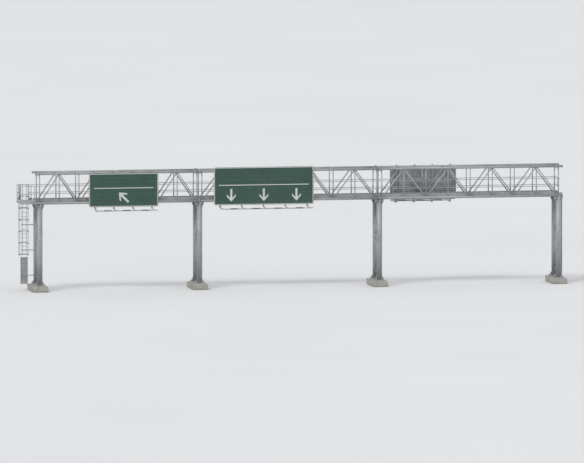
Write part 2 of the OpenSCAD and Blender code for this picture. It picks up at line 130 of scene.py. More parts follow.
class Graph:
    """Shorthand for one node material."""

    def __init__(self, name):
        self.m = bpy.data.materials.new(name)
        self.m.use_nodes = True
        self.t = self.m.node_tree
        self.t.nodes.clear()
        self.out = self.t.nodes.new("ShaderNodeOutputMaterial")
        self.b = self.t.nodes.new("ShaderNodeBsdfPrincipled")
        self.t.links.new(self.b.outputs[0], self.out.inputs[0])
        self.pos = self.t.nodes.new("ShaderNodeTexCoord").outputs["Object"]
        self.geo = self.t.nodes.new("ShaderNodeNewGeometry")

    def put(self, sock, v):
        if isinstance(v, bpy.types.NodeSocket):
            self.t.links.new(v, sock)
        elif v is not None:
            if sock.type == "RGBA" and len(v) == 3:
                v = (*v, 1.0)
            sock.default_value = v

    def scaled(self, sx, sy, sz, off=(0, 0, 0), rot=(0, 0, 0)):
        n = self.t.nodes.new("ShaderNodeMapping")
        self.put(n.inputs["Vector"], self.pos)
        n.inputs["Scale"].default_value = (sx, sy, sz)
        n.inputs["Location"].default_value = off
        n.inputs["Rotation"].default_value = rot
        return n.outputs[0]

    def noise(self, scale, detail=4.0, rough=0.55, vec=None, dist=0.0):
        n = self.t.nodes.new("ShaderNodeTexNoise")
        self.put(n.inputs["Vector"], vec or self.pos)
        n.inputs["Scale"].default_value = scale
        n.inputs["Detail"].default_value = detail
        n.inputs["Roughness"].default_value = rough
        n.inputs["Distortion"].default_value = dist
        return n.outputs[0]

    def cells(self, scale, vec=None, feature="F1", rand=1.0):
        n = self.t.nodes.new("ShaderNodeTexVoronoi")
        n.feature = feature
        self.put(n.inputs["Vector"], vec or self.pos)
        n.inputs["Scale"].default_value = scale
        n.inputs["Randomness"].default_value = rand
        return n.outputs

    def math(self, op, a, b=None, c=None, clamp=False):
        n = self.t.nodes.new("ShaderNodeMath")
        n.operation = op
        n.use_clamp = clamp
        for i, v in enumerate((a, b, c)):
            if v is not None:
                self.put(n.inputs[i], v)
        return n.outputs[0]

    def span(self, v, a, b, lo=0.0, hi=1.0):
        """v from a..b mapped to lo..hi, clamped."""
        n = self.t.nodes.new("ShaderNodeMapRange")
        self.put(n.inputs["Value"], v)
        for k, x in (("From Min", a), ("From Max", b), ("To Min", lo), ("To Max", hi)):
            n.inputs[k].default_value = x
        return n.outputs[0]

    def mix(self, f, a, b, mode="MIX"):
        n = self.t.nodes.new("ShaderNodeMix")
        n.data_type = "RGBA"
        n.blend_type = mode
        self.put(n.inputs[0], f)
        self.put(n.inputs[6], a)
        self.put(n.inputs[7], b)
        return n.outputs[2]

    def xyz(self, v):
        n = self.t.nodes.new("ShaderNodeSeparateXYZ")
        self.put(n.inputs[0], v)
        return n.outputs

    def bump(self, h, strength, dist=0.01, normal=None):
        n = self.t.nodes.new("ShaderNodeBump")
        n.inputs["Strength"].default_value = strength
        n.inputs["Distance"].default_value = dist
        self.put(n.inputs["Height"], h)
        if normal is not None:
            self.put(n.inputs["Normal"], normal)
        return n.outputs[0]

    def done(self, color, rough, metal=0.0, normal=None, **fixed):
        self.put(self.b.inputs["Base Color"], color)
        self.put(self.b.inputs["Roughness"], rough)
        self.put(self.b.inputs["Metallic"], metal)
        if normal is not None:
            self.put(self.b.inputs["Normal"], normal)
        for k, v in fixed.items():
            self.b.inputs[k.replace("_", " ")].default_value = v
        return self.m


def galvanised(name, light=(0.430, 0.440, 0.447), dark=(0.278, 0.286, 0.292), metal=0.28,
               rough=0.50, spangle=85.0, dust_and_underside_shade=0.5, rust=0.0, runs=0.5):
    """Hot-dip zinc, some years old: dull and cloudy, with faint crystals, runs, bloom and dirt, and painted shade on
    the undersides.
    """
    g = Graph(name)
    broad = g.span(g.noise(0.75, 4.0, 0.6, dist=0.5), 0.35, 0.66)
    cloud = g.span(g.noise(7.5, 6.0, 0.62, dist=0.8), 0.34, 0.68)
    patch = g.math("ADD", g.math("MULTIPLY", broad, 0.55), g.math("MULTIPLY", cloud, 0.45))
    col = g.mix(patch, dark, light)
    # zinc crystals, bent a little so that their edges aren't straight
    warp = g.t.nodes.new("ShaderNodeVectorMath")
    warp.operation = "MULTIPLY_ADD"
    wn = g.t.nodes.new("ShaderNodeTexNoise")
    g.put(wn.inputs["Vector"], g.pos)
    wn.inputs["Scale"].default_value = spangle * 0.7
    wn.inputs["Detail"].default_value = 2.0
    g.put(warp.inputs[0], wn.outputs[1])
    warp.inputs[1].default_value = (0.35 / spangle,) * 3
    g.put(warp.inputs[2], g.pos)
    cell = g.xyz(g.cells(spangle, vec=warp.outputs[0])["Color"])
    grey = g.t.nodes.new("ShaderNodeCombineColor")
    tint = g.span(cell[0], 0.0, 1.0, 0.90, 1.10)
    for i in range(3):
        g.put(grey.inputs[i], tint)
    col = g.mix(g.span(g.noise(2.2, 3.0, 0.5), 0.40, 0.62, 0.35, 1.0), col, grey.outputs[0], "MULTIPLY")
    nz = g.xyz(g.geo.outputs["Normal"])[2]
    side = g.span(g.math("ABSOLUTE", nz), 0.35, 0.9, 1.0, 0.0)
    # runs of rain and dirt down the faces, broad and fine
    streak = g.span(g.noise(1.0, 5.0, 0.62, vec=g.scaled(21, 21, 0.42)), 0.50, 0.73)
    thin = g.span(g.noise(1.0, 4.0, 0.6, vec=g.scaled(85, 85, 1.1)), 0.53, 0.72)
    run = g.math("ADD", g.math("MULTIPLY", streak, 0.75), g.math("MULTIPLY", thin, 0.35), clamp=True)
    col = g.mix(g.math("MULTIPLY", g.math("MULTIPLY", run, side), runs), col, tuple(c * 0.52 for c in dark))
    # white bloom where water has stood
    bloom = g.span(g.noise(4.6, 8.0, 0.72), 0.585, 0.72)
    col = g.mix(g.math("MULTIPLY", bloom, 0.42), col, (0.54, 0.55, 0.55))
    # dust that settles on what faces up, and painted shade darkening what faces down
    up = g.span(nz, 0.55, 0.98)
    dust = g.math("MULTIPLY", up, g.span(g.noise(7.0, 5.0, 0.6), 0.35, 0.7, 0.15, 0.75))
    col = g.mix(g.math("MULTIPLY", dust, dust_and_underside_shade), col, (0.30, 0.285, 0.255))
    # painted shade: faces that look down are darkened towards near black
    down = g.span(nz, -0.98, -0.5, 1.0, 0.0)
    col = g.mix(g.math("MULTIPLY", down, 0.35 * dust_and_underside_shade), col, (0.13, 0.13, 0.125))
    if rust:
        spot = g.span(g.noise(38.0, 5.0, 0.7), 0.60, 0.73)
        near = g.span(g.noise(3.6, 3.0, 0.5), 0.47, 0.62)
        f = g.math("MULTIPLY", g.math("MULTIPLY", spot, near), rust)
        col = g.mix(f, col, (0.21, 0.090, 0.036))
    r = g.math("ADD", g.span(cell[1], 0, 1, rough - 0.06, rough + 0.07), g.math("MULTIPLY", dust, 0.3), clamp=True)
    r = g.math("ADD", r, g.math("MULTIPLY", bloom, 0.12), clamp=True)
    h = g.math("ADD", g.math("MULTIPLY", g.noise(160.0, 3.0, 0.5), 0.35), g.math("ADD", g.noise(16.0, 5.0, 0.6), g.math("MULTIPLY", thin, 0.3)))
    return g.done(col, r, g.span(patch, 0, 1, metal * 0.65, metal), g.bump(h, 0.25, 0.0014))


GALV = galvanised("galvanised_steel", rust=0.25)
GALV_LEG = galvanised("galvanised_post", light=(0.410, 0.420, 0.427), dark=(0.262, 0.270, 0.276), spangle=70.0, dust_and_underside_shade=0.7, rust=0.35, runs=0.7)
GALV_PLATE = galvanised("galvanised_plate", light=(0.46, 0.47, 0.475), dark=(0.315, 0.322, 0.327), metal=0.32, rough=0.45, spangle=60.0, dust_and_underside_shade=0.55, rust=0.3)
GRATE = galvanised("grating_steel", light=(0.385, 0.395, 0.40), dark=(0.25, 0.256, 0.26), metal=0.3, rough=0.55, spangle=90.0, dust_and_underside_shade=0.8, rust=0.3)
ZINC = galvanised("zinc_fixings", light=(0.50, 0.51, 0.51), dark=(0.34, 0.345, 0.35), metal=0.5, rough=0.38, spangle=140.0, dust_and_underside_shade=0.35, rust=0.5)
WELD = galvanised("weld_bead", light=(0.36, 0.366, 0.37), dark=(0.22, 0.225, 0.228), metal=0.3, rough=0.55, spangle=160.0, dust_and_underside_shade=0.5, rust=0.8)


def concrete(name, light, dark, boards=True, fine=1.0):
    g = Graph(name)
    p = g.xyz(g.pos)
    blot = g.span(g.noise(2.3, 7.0, 0.65, dist=0.4), 0.34, 0.68)
    col = g.mix(blot, dark, light)
    sand = g.cells(260.0)
    grit = g.span(g.xyz(sand["Color"])[0], 0, 1, 0.80, 1.16)
    cc = g.t.nodes.new("ShaderNodeCombineColor")
    for i in range(3):
        g.put(cc.inputs[i], grit)
    col = g.mix(0.75, col, cc.outputs[0], "MULTIPLY")
    nz = g.xyz(g.geo.outputs["Normal"])[2]
    side = g.span(g.math("ABSOLUTE", nz), 0.3, 0.8, 1.0, 0.0)
    height = None
    if boards:
        # one lift of boards, 133 mm each, with a fin of laitance at each joint
        f = g.math("FRACT", g.math("MULTIPLY", p[2], 7.5))
        joint = g.math("MULTIPLY", g.span(g.math("ABSOLUTE", g.math("SUBTRACT", f, 0.5)), 0.462, 0.495), side)
        row = g.math("FLOOR", g.math("MULTIPLY", p[2], 7.5))
        grain = g.noise(1.0, 6.0, 0.6, vec=g.scaled(5, 5, 95))
        rowtone = g.span(g.math("FRACT", g.math("MULTIPLY", g.math("ADD", row, 3.0), 0.618)), 0, 1, 0.0, 0.22)
        col = g.mix(g.math("MULTIPLY", rowtone, side), col, dark)
        col = g.mix(g.math("MULTIPLY", joint, 0.55), col, (0.16, 0.15, 0.135))
        height = g.math("ADD", g.math("MULTIPLY", joint, 0.9), g.math("MULTIPLY", g.math("MULTIPLY", grain, side), 0.5))
    # rain wash from the arrises, splash and algae at the foot
    wash = g.span(g.noise(1.0, 5.0, 0.62, vec=g.scaled(17, 17, 1.2)), 0.50, 0.70)
    high = g.span(p[2], 0.10, 0.40)
    col = g.mix(g.math("MULTIPLY", g.math("MULTIPLY", wash, side), g.math("MULTIPLY", high, 0.5)), col, (0.12, 0.115, 0.105))
    foot = g.span(g.math("ADD", p[2], g.math("MULTIPLY", g.noise(6.0, 4.0, 0.6), 0.16)), 0.07, 0.20, 1.0, 0.0)
    col = g.mix(g.math("MULTIPLY", g.math("MULTIPLY", foot, side), 0.62), col, (0.115, 0.105, 0.075))
    moss = g.math("MULTIPLY", g.span(g.noise(9.0, 6.0, 0.7), 0.58, 0.70), g.span(p[2], 0.0, 0.25, 0.55, 0.1))
    col = g.mix(g.math("MULTIPLY", moss, side), col, (0.105, 0.125, 0.060))
    # pores: bumped in, and painted darker as painted shade in the pits
    pores = g.span(g.cells(46.0)["Distance"], 0.0, 0.16, 1.0, 0.0)
    some = g.span(g.noise(12.0, 2.0, 0.5), 0.50, 0.60)
    pit = g.math("MULTIPLY", pores, some)
    col = g.mix(g.math("MULTIPLY", pit, 0.7), col, (0.10, 0.095, 0.085))
    h = g.math("ADD", g.math("MULTIPLY", g.noise(90.0, 6.0, 0.7), 0.6 * fine), g.math("MULTIPLY", pit, -1.6))
    if height is not None:
        h = g.math("ADD", h, height)
    return g.done(col, g.span(g.noise(8.0, 3.0, 0.5), 0.3, 0.7, 0.80, 0.93), 0.0, g.bump(h, 0.55, 0.003))


CONC = concrete("cast_concrete", (0.44, 0.425, 0.39), (0.30, 0.288, 0.262))
GROUT = concrete("grout", (0.37, 0.365, 0.345), (0.245, 0.24, 0.225), boards=False, fine=1.4)
CONC_PLUG = concrete("tie_hole_mortar", (0.36, 0.35, 0.33), (0.27, 0.262, 0.245), boards=False, fine=1.2)


def sheeting(name, base, worn, rough):
    """Retroreflective sheeting: a lattice of tiny cells, road film and rain runs."""
    g = Graph(name)
    fade = g.span(g.noise(0.55, 5.0, 0.6), 0.35, 0.68)
    col = g.mix(g.math("MULTIPLY", fade, 0.5), base, worn)
    hexes = g.cells(190.0, feature="DISTANCE_TO_EDGE", rand=0.12)["Distance"]
    seam = g.span(hexes, 0.02, 0.10, 1.0, 0.0)
    col = g.mix(g.math("MULTIPLY", seam, 0.28), col, worn)
    run = g.span(g.noise(1.0, 6.0, 0.62, vec=g.scaled(13, 13, 0.35)), 0.52, 0.74)
    col = g.mix(g.math("MULTIPLY", run, 0.30), col, (0.11, 0.112, 0.10))
    low = g.span(g.math("ADD", g.xyz(g.pos)[2], g.math("MULTIPLY", g.noise(2.2, 5.0, 0.6), 0.5)), 6.15, 6.75, 1.0, 0.0)
    film = g.math("MULTIPLY", low, g.span(g.noise(14.0, 5.0, 0.7), 0.3, 0.7, 0.2, 0.6))
    col = g.mix(g.math("MULTIPLY", film, 0.35), col, (0.16, 0.155, 0.135))
    r = g.math("ADD", g.span(g.noise(3.0, 4.0, 0.6), 0.3, 0.7, rough, rough + 0.10), g.math("MULTIPLY", film, 0.3), clamp=True)
    return g.done(col, r, 0.0, g.bump(hexes, 0.12, 0.0006), Coat_Weight=0.18, Coat_Roughness=0.22)


GREEN = sheeting("green_sheeting", (0.013, 0.058, 0.041), (0.030, 0.084, 0.064), 0.36)
WHITE = sheeting("white_sheeting", (0.62, 0.63, 0.61), (0.50, 0.51, 0.49), 0.38)


def brushed(name, light, dark, metal=0.7, rough=0.38, along="x"):
    g = Graph(name)
    tone = g.span(g.noise(0.9, 6.0, 0.6), 0.36, 0.66)
    col = g.mix(tone, dark, light)
    s = {"x": (0.9, 60, 420), "z": (420, 420, 0.9)}[along]
    lines = g.noise(1.0, 3.0, 0.55, vec=g.scaled(*s))
    col = g.mix(g.math("MULTIPLY", g.span(lines, 0.4, 0.75), 0.28), col, dark)
    oxide = g.span(g.noise(11.0, 6.0, 0.7), 0.57, 0.72)
    col = g.mix(g.math("MULTIPLY", oxide, 0.35), col, (0.34, 0.345, 0.345))
    drip = g.span(g.noise(1.0, 5.0, 0.6, vec=g.scaled(15, 15, 0.5)), 0.55, 0.74)
    col = g.mix(g.math("MULTIPLY", drip, 0.34), col, (0.12, 0.12, 0.115))
    r = g.span(lines, 0.25, 0.75, rough - 0.05, rough + 0.12)
    return g.done(col, r, metal, g.bump(lines, 0.10, 0.0006))


ALU = brushed("mill_aluminium", (0.45, 0.46, 0.47), (0.31, 0.32, 0.33), metal=0.35, rough=0.45)
ALU_RAIL = brushed("aluminium_rail", (0.50, 0.51, 0.52), (0.36, 0.37, 0.38), metal=0.45, rough=0.40)
TRUNK = brushed("sheet_trunking", (0.33, 0.34, 0.345), (0.22, 0.228, 0.232), metal=0.5, rough=0.42)
TRUNK_V = brushed("sheet_trunking_riser", (0.33, 0.34, 0.345), (0.22, 0.228, 0.232), metal=0.5, rough=0.42, along="z")


def paint(name, base, worn, rough=0.45, coat=0.1):
    g = Graph(name)
    chalk = g.span(g.noise(2.6, 6.0, 0.62), 0.38, 0.70)
    col = g.mix(g.math("MULTIPLY", chalk, 0.6), base, worn)
    run = g.span(g.noise(1.0, 5.0, 0.6, vec=g.scaled(24, 24, 0.9)), 0.55, 0.74)
    col = g.mix(g.math("MULTIPLY", run, 0.4), col, tuple(c * 0.45 for c in base))
    nz = g.xyz(g.geo.outputs["Normal"])[2]
    dust = g.math("MULTIPLY", g.span(nz, 0.5, 0.97), g.span(g.noise(9.0, 5.0, 0.6), 0.3, 0.7, 0.2, 0.7))
    col = g.mix(dust, col, (0.26, 0.25, 0.225))
    chip = g.span(g.noise(62.0, 4.0, 0.7), 0.715, 0.735)
    col = g.mix(chip, col, (0.16, 0.12, 0.095))
    r = g.math("ADD", g.span(chalk, 0, 1, rough, rough + 0.18), g.math("MULTIPLY", dust, 0.3), clamp=True)
    peel = g.noise(330.0, 2.0, 0.5)
    return g.done(col, r, 0.0, g.bump(peel, 0.12, 0.0006), Coat_Weight=coat, Coat_Roughness=0.3)


LAMP = paint("lamp_paint", (0.17, 0.178, 0.183), (0.25, 0.255, 0.258))
CAB = paint("cabinet_paint", (0.155, 0.165, 0.170), (0.215, 0.222, 0.226), rough=0.42, coat=0.2)
# near-black paint used as painted shade in the door gap and the louvre slots
CAB_PAINTED_SHADE = paint("cabinet_shadow", (0.045, 0.048, 0.050), (0.07, 0.072, 0.074), rough=0.6, coat=0.0)


def rubber(name, base):
    g = Graph(name)
    d = g.span(g.noise(18.0, 5.0, 0.65), 0.35, 0.7)
    col = g.mix(g.math("MULTIPLY", d, 0.5), base, (0.085, 0.083, 0.078))
    return g.done(col, g.span(d, 0, 1, 0.55, 0.8), 0.0, g.bump(g.noise(240.0, 3.0, 0.6), 0.2, 0.0008))


BLACK = rubber("black_polymer", (0.018, 0.018, 0.019))


def lens_glass(name):
    g = Graph(name)
    ribs = g.noise(1.0, 1.0, 0.4, vec=g.scaled(150, 12, 12))
    col = g.mix(g.span(g.noise(6.0, 5.0, 0.65), 0.35, 0.7), (0.33, 0.36, 0.38), (0.46, 0.47, 0.46))
    return g.done(col, g.span(g.noise(11.0, 4.0, 0.6), 0.3, 0.7, 0.07, 0.24), 0.0, g.bump(ribs, 0.25, 0.002), Coat_Weight=0.6, Coat_Roughness=0.06)


LENS = lens_glass("lamp_lens")

# =====================================================================
# Shapes: (vertices, [(faces, smooth), ...]), closed and turned outward
# =====================================================================


def solid(V, groups):
    V = np.asarray(V, float).reshape(-1, 3)
    groups = [(np.asarray(F, np.int64), s) for F, s in groups if len(F)]
    vol = 0.0
    c = V.mean(0)
    W = V - c
    for F, _ in groups:
        a = W[F[:, 0]]
        for k in range(1, F.shape[1] - 1):
            vol += float(np.einsum("ij,ij->", a, np.cross(W[F[:, k]], W[F[:, k + 1]])))
    if vol < 0:
        groups = [(F[:, ::-1], s) for F, s in groups]
    return V, groups


def loft(S, smooth=True, caps=True, loop=False, smooth_caps=False):
    S = np.asarray(S, float)
    m, k, _ = S.shape
    j = np.arange(k)
    jn = (j + 1) % k
    rows = m if loop else m - 1
    q = []
    for i in range(rows):
        a, b = i * k, ((i + 1) % m) * k
        q.append(np.stack([a + j, a + jn, b + jn, b + j], 1))
    groups = [(np.concatenate(q), smooth)]
    if caps and not loop:
        groups.append((j[::-1][None, :], smooth_caps))
        groups.append((((m - 1) * k + j)[None, :], smooth_caps))
    return solid(S.reshape(-1, 3), groups)


def basis(d):
    d = np.asarray(d, float)
    d = d / np.linalg.norm(d)
    h = np.array([0.0, 0.0, 1.0]) if abs(d[2]) < 0.9 else np.array([1.0, 0.0, 0.0])
    u = np.cross(h, d)
    u /= np.linalg.norm(u)
    return d, u, np.cross(d, u)


def ring(c, u, w, r, n, ph=0.0):
    t = 2 * math.pi * np.arange(n) / n + ph
    return np.asarray(c, float) + r * (np.cos(t)[:, None] * u + np.sin(t)[:, None] * w)


def tube(a, b, r, n=20):
    a, b = np.asarray(a, float), np.asarray(b, float)
    d, u, w = basis(b - a)
    return loft([ring(a, u, w, r, n), ring(b, u, w, r, n)])


def turned(a, axis, prof, n=24, smooth=True):
    """Stack of rings: prof is [(distance along the axis, radius), ...]."""
    d, u, w = basis(axis)
    a = np.asarray(a, float)
    return loft([ring(a + d * h, u, w, r, n) for h, r in prof], smooth=smooth)


def annulus(a, axis, r0, r1, h, n=32, smooth=True):
    """A ring of rectangular section from a along axis."""
    d, u, w = basis(axis)
    a = np.asarray(a, float)
    S = []
    t = 2 * math.pi * np.arange(n) / n
    for x in t:
        e = math.cos(x) * u + math.sin(x) * w
        S.append([a + e * r0, a + e * r1, a + e * r1 + d * h, a + e * r0 + d * h])
    return loft(S, smooth=smooth, loop=True)


def sweep(path, r, n=8, loop=False):
    P = np.asarray(path, float)
    m = len(P)
    if loop:
        T = np.roll(P, -1, 0) - np.roll(P, 1, 0)
    else:
        T = np.vstack([P[1] - P[0], P[2:] - P[:-2], P[-1] - P[-2]])
    T /= np.linalg.norm(T, axis=1)[:, None]
    _, u, _ = basis(T[0])
    S = []
    for i in range(m):
        u = u - T[i] * (u @ T[i])
        u /= np.linalg.norm(u)
        S.append(ring(P[i], u, np.cross(T[i], u), r, n))
    return loft(S, loop=loop)


def bead(P, out, r=0.005, m=5):
    """Closed weld bead along P, with out the direction away from the tube at each point."""
    P, out = np.asarray(P, float), np.asarray(out, float)
    T = np.roll(P, -1, 0) - np.roll(P, 1, 0)
    T /= np.linalg.norm(T, axis=1)[:, None]
    U = out - T * np.einsum("ij,ij->i", out, T)[:, None]
    U /= np.linalg.norm(U, axis=1)[:, None]
    W = np.cross(T, U)
    t = 2 * math.pi * np.arange(m) / m
    S = P[:, None, :] + r * (np.cos(t)[None, :, None] * U[:, None, :] + np.sin(t)[None, :, None] * W[:, None, :])
    return loft(S, loop=True)


def saddle_weld(c0, d, r, cp, cd, R, br=0.0055, n=26, m=5):
    """Weld where a tube from c0 along d meets the tube through cp along cd."""
    d, u, w = basis(d)
    cd = np.asarray(cd, float) / np.linalg.norm(cd)
    t = 2 * math.pi * np.arange(n) / n
    O = np.cos(t)[:, None] * u + np.sin(t)[:, None] * w
    q = np.asarray(c0, float) + r * O - np.asarray(cp, float)
    qp = q - np.outer(q @ cd, cd)
    dp = d - cd * (d @ cd)
    A, B, C = dp @ dp, 2 * qp @ dp, np.einsum("ij,ij->i", qp, qp) - R * R
    s = (-B + np.sqrt(np.maximum(B * B - 4 * A * C, 0))) / (2 * A)
    P = np.asarray(c0, float) + r * O + s[:, None] * d
    return bead(P, O, br, m)


def ring_weld(c, axis, r, br=0.006, n=28, m=5):
    d, u, w = basis(axis)
    t = 2 * math.pi * np.arange(n) / n
    O = np.cos(t)[:, None] * u + np.sin(t)[:, None] * w
    return bead(np.asarray(c, float) + r * O, O, br, m)


def cbox(lo, hi, c=0.002):
    """Box with every edge chamfered."""
    lo, hi = np.minimum(lo, hi).astype(float), np.maximum(lo, hi).astype(float)
    c = min(c, float((hi - lo).min()) * 0.45)
    V, idx = [], {}
    for sx in (0, 1):
        for sy in (0, 1):
            for sz in (0, 1):
                p = np.array([(lo, hi)[sx][0], (lo, hi)[sy][1], (lo, hi)[sz][2]])
                inn = np.array([c if sx == 0 else -c, c if sy == 0 else -c, c if sz == 0 else -c])
                for ax in range(3):
                    q = p + inn
                    q[ax] = p[ax]
                    idx[(sx, sy, sz, ax)] = len(V)
                    V.append(q)
    V = np.array(V)
    quads, tris = [], []
    for ax in range(3):
        o = [a for a in range(3) if a != ax]
        for s in (0, 1):
            loop = []
            for a, b in ((0, 0), (1, 0), (1, 1), (0, 1)):
                k = [0, 0, 0]
                k[ax], k[o[0]], k[o[1]] = s, a, b
                loop.append(idx[(*k, ax)])
            quads.append(loop)
        for a in (0, 1):
            for b in (0, 1):
                k0, k1 = [0, 0, 0], [0, 0, 0]
                k0[ax], k1[ax] = 0, 1
                k0[o[0]] = k1[o[0]] = a
                k0[o[1]] = k1[o[1]] = b
                quads.append([idx[(*k0, o[0])], idx[(*k1, o[0])], idx[(*k1, o[1])], idx[(*k0, o[1])]])
    for sx in (0, 1):
        for sy in (0, 1):
            for sz in (0, 1):
                tris.append([idx[(sx, sy, sz, a)] for a in range(3)])
    cen = V.mean(0)

    def fix(F):
        F = np.array(F)
        n = np.cross(V[F[:, 1]] - V[F[:, 0]], V[F[:, 2]] - V[F[:, 0]])
        bad = np.einsum("ij,ij->i", n, V[F].mean(1) - cen) < 0
        F[bad] = F[bad][:, ::-1]
        return F

    return V, [(fix(quads), False), (fix(tris), False)]


def box(lo, hi):
    lo, hi = np.minimum(lo, hi), np.maximum(lo, hi)
    x0, y0, z0 = lo
    x1, y1, z1 = hi
    V = [(x0, y0, z0), (x1, y0, z0), (x1, y1, z0), (x0, y1, z0), (x0, y0, z1), (x1, y0, z1), (x1, y1, z1), (x0, y1, z1)]
    F = [(0, 3, 2, 1), (4, 5, 6, 7), (0, 1, 5, 4), (1, 2, 6, 5), (2, 3, 7, 6), (3, 0, 4, 7)]
    return solid(V, [(F, False)])


def inset(P, d):
    """Outline P drawn in by d."""
    P = np.asarray(P, float)
    x, y = P[:, 0], P[:, 1]
    area = 0.5 * np.sum(x * np.roll(y, -1) - np.roll(x, -1) * y)
    sg = 1.0 if area > 0 else -1.0
    e = np.roll(P, -1, 0) - P
    L = np.linalg.norm(e, axis=1)
    L[L < 1e-12] = 1e-12
    e = e / L[:, None]
    nrm = np.stack([-e[:, 1], e[:, 0]], 1) * sg
    n0 = np.roll(nrm, 1, 0)
    m = (n0 + nrm) / (1 + np.einsum("ij,ij->i", n0, nrm))[:, None].clip(0.25)
    return P + m * d


def plate(P, o, u, v, w, t, c=0.0):
    """Outline P in (u, v) at o, t thick along w, with its arrises taken off by c."""
    P = np.asarray(P, float)
    o, u, v, w = (np.asarray(x, float) for x in (o, u, v, w))

    def lay(Q, h):
        return o + Q[:, :1] * u + Q[:, 1:2] * v + w * h

    if c > 0:
        I = inset(P, c)
        return loft([lay(I, 0), lay(P, c), lay(P, t - c), lay(I, t)], smooth=False)
    return loft([lay(P, 0), lay(P, t)], smooth=False)


def extrude(P, a, b, up=(0, 0, 1), smooth=False):
    """Outline P, in (side, up) axes, from a to b."""
    a, b = np.asarray(a, float), np.asarray(b, float)
    d = (b - a) / np.linalg.norm(b - a)
    up = np.asarray(up, float)
    side = np.cross(up, d)
    side /= np.linalg.norm(side)
    up = np.cross(d, side)
    P = np.asarray(P, float)
    S = [p + P[:, :1] * side + P[:, 1:2] * up for p in (a, b)]
    return loft(S, smooth=smooth)


def rrect(w, h, r, n=3, cx=0.0, cy=0.0):
    P = []
    for x, y, a in ((w / 2 - r, h / 2 - r, 0), (-w / 2 + r, h / 2 - r, 90), (-w / 2 + r, -h / 2 + r, 180), (w / 2 - r, -h / 2 + r, 270)):
        for i in range(n + 1):
            t = math.radians(a + 90 * i / n)
            P.append((cx + x + r * math.cos(t), cy + y + r * math.sin(t)))
    return np.array(P)


def rounded(pts, r, n=6):
    """Path with its corners turned at radius r."""
    P = [np.asarray(p, float) for p in pts]
    out = [P[0]]
    for i in range(1, len(P) - 1):
        a, b = P[i - 1] - P[i], P[i + 1] - P[i]
        la, lb = np.linalg.norm(a), np.linalg.norm(b)
        a, b = a / la, b / lb
        th = math.acos(max(-1, min(1, float(a @ b))))
        if th > math.radians(178):
            out.append(P[i])
            continue
        t = min(r / math.tan(th / 2), la * 0.49, lb * 0.49)
        rr = t * math.tan(th / 2)
        bis = (a + b) / np.linalg.norm(a + b)
        c = P[i] + bis * (rr / math.sin(th / 2))
        s, e = P[i] + a * t - c, P[i] + b * t - c
        om = math.pi - th
        for k in range(n + 1):
            f = k / n
            out.append(c + (math.sin((1 - f) * om) * s + math.sin(f * om) * e) / math.sin(om))
    out.append(P[-1])
    return np.array(out)


def strip(path, w, t, up):
    """Flat bar along a level path: t thick across it, w tall along up."""
    P = np.asarray(path, float)
    up = np.asarray(up, float)
    T = np.diff(P, axis=0)
    T /= np.linalg.norm(T, axis=1)[:, None]
    N = np.cross(up, T)
    S = []
    for i in range(len(P)):
        n0, n1 = N[max(i - 1, 0)], N[min(i, len(N) - 1)]
        m = (n0 + n1) / max(1 + float(n0 @ n1), 0.25)
        S.append([P[i] - m * t / 2 - up * w / 2, P[i] + m * t / 2 - up * w / 2, P[i] + m * t / 2 + up * w / 2, P[i] - m * t / 2 + up * w / 2])
    return loft(S, smooth=False)


def merge(*shapes):
    V, G, n = [], [], 0
    for s in shapes:
        V.append(s[0])
        G += [(F + n, sm) for F, sm in s[1]]
        n += len(s[0])
    return np.concatenate(V), G


def place(o, z=(0, 0, 1), x=None):
    z = np.asarray(z, float)
    z = z / np.linalg.norm(z)
    if x is None:
        _, x, y = basis(z)
    else:
        x = np.asarray(x, float)
        x = x - z * (x @ z)
        x /= np.linalg.norm(x)
        y = np.cross(z, x)
    M = np.eye(4)
    M[:3, 0], M[:3, 1], M[:3, 2], M[:3, 3] = x, y, z, o
    return M


def hexring(af, h, ph=0.0):
    return ring((0, 0, h), np.array([1.0, 0, 0]), np.array([0, 1.0, 0]), af / math.sqrt(3), 6, ph)


def bolt_head(d):
    wt, h, af = 0.16 * d, 0.65 * d, 1.55 * d
    return merge(turned((0, 0, 0), (0, 0, 1), [(0, 1.0 * d), (wt, 1.0 * d)], 12),
                 loft([hexring(af, wt * 0.5), hexring(af, wt + h * 0.85), hexring(af * 0.86, wt + h)], smooth=False))


def bolt_nut(d, proud=0.7):
    wt, h, af = 0.16 * d, 0.82 * d, 1.55 * d
    e = wt + h + proud * d
    return merge(turned((0, 0, 0), (0, 0, 1), [(0, 1.0 * d), (wt, 1.0 * d)], 12),
                 loft([hexring(af, wt * 0.5), hexring(af, wt + h * 0.88), hexring(af * 0.88, wt + h)], smooth=False),
                 turned((0, 0, wt), (0, 0, 1), [(0, 0.47 * d), (e - wt - 0.12 * d, 0.47 * d), (e - wt, 0.36 * d)], 10))


def anchor(d=0.030, proud=0.062):
    """Holding-down stud: plate washer, nut, lock nut and thread."""
    wt, h, af = 0.006, 0.8 * d, 1.55 * d
    z = wt + h
    parts = [turned((0, 0, 0), (0, 0, 1), [(0, 0.033), (wt, 0.033)], 16),
             loft([hexring(af, wt * 0.5), hexring(af, z - 0.002), hexring(af * 0.88, z)], smooth=False),
             loft([hexring(af, z, 0.3), hexring(af, z + 0.5 * d, 0.3), hexring(af * 0.88, z + 0.5 * d + 0.002, 0.3)], smooth=False)]
    prof, a = [(z, d / 2)], z
    while a < z + 0.5 * d + proud - 0.006:
        prof += [(a + 0.0018, d / 2), (a + 0.0035, d / 2 * 0.93)]
        a += 0.0035
    prof += [(a + 0.003, d / 2 * 0.8)]
    parts.append(turned((0, 0, 0), (0, 0, 1), prof, 12, smooth=False))
    return merge(*parts)


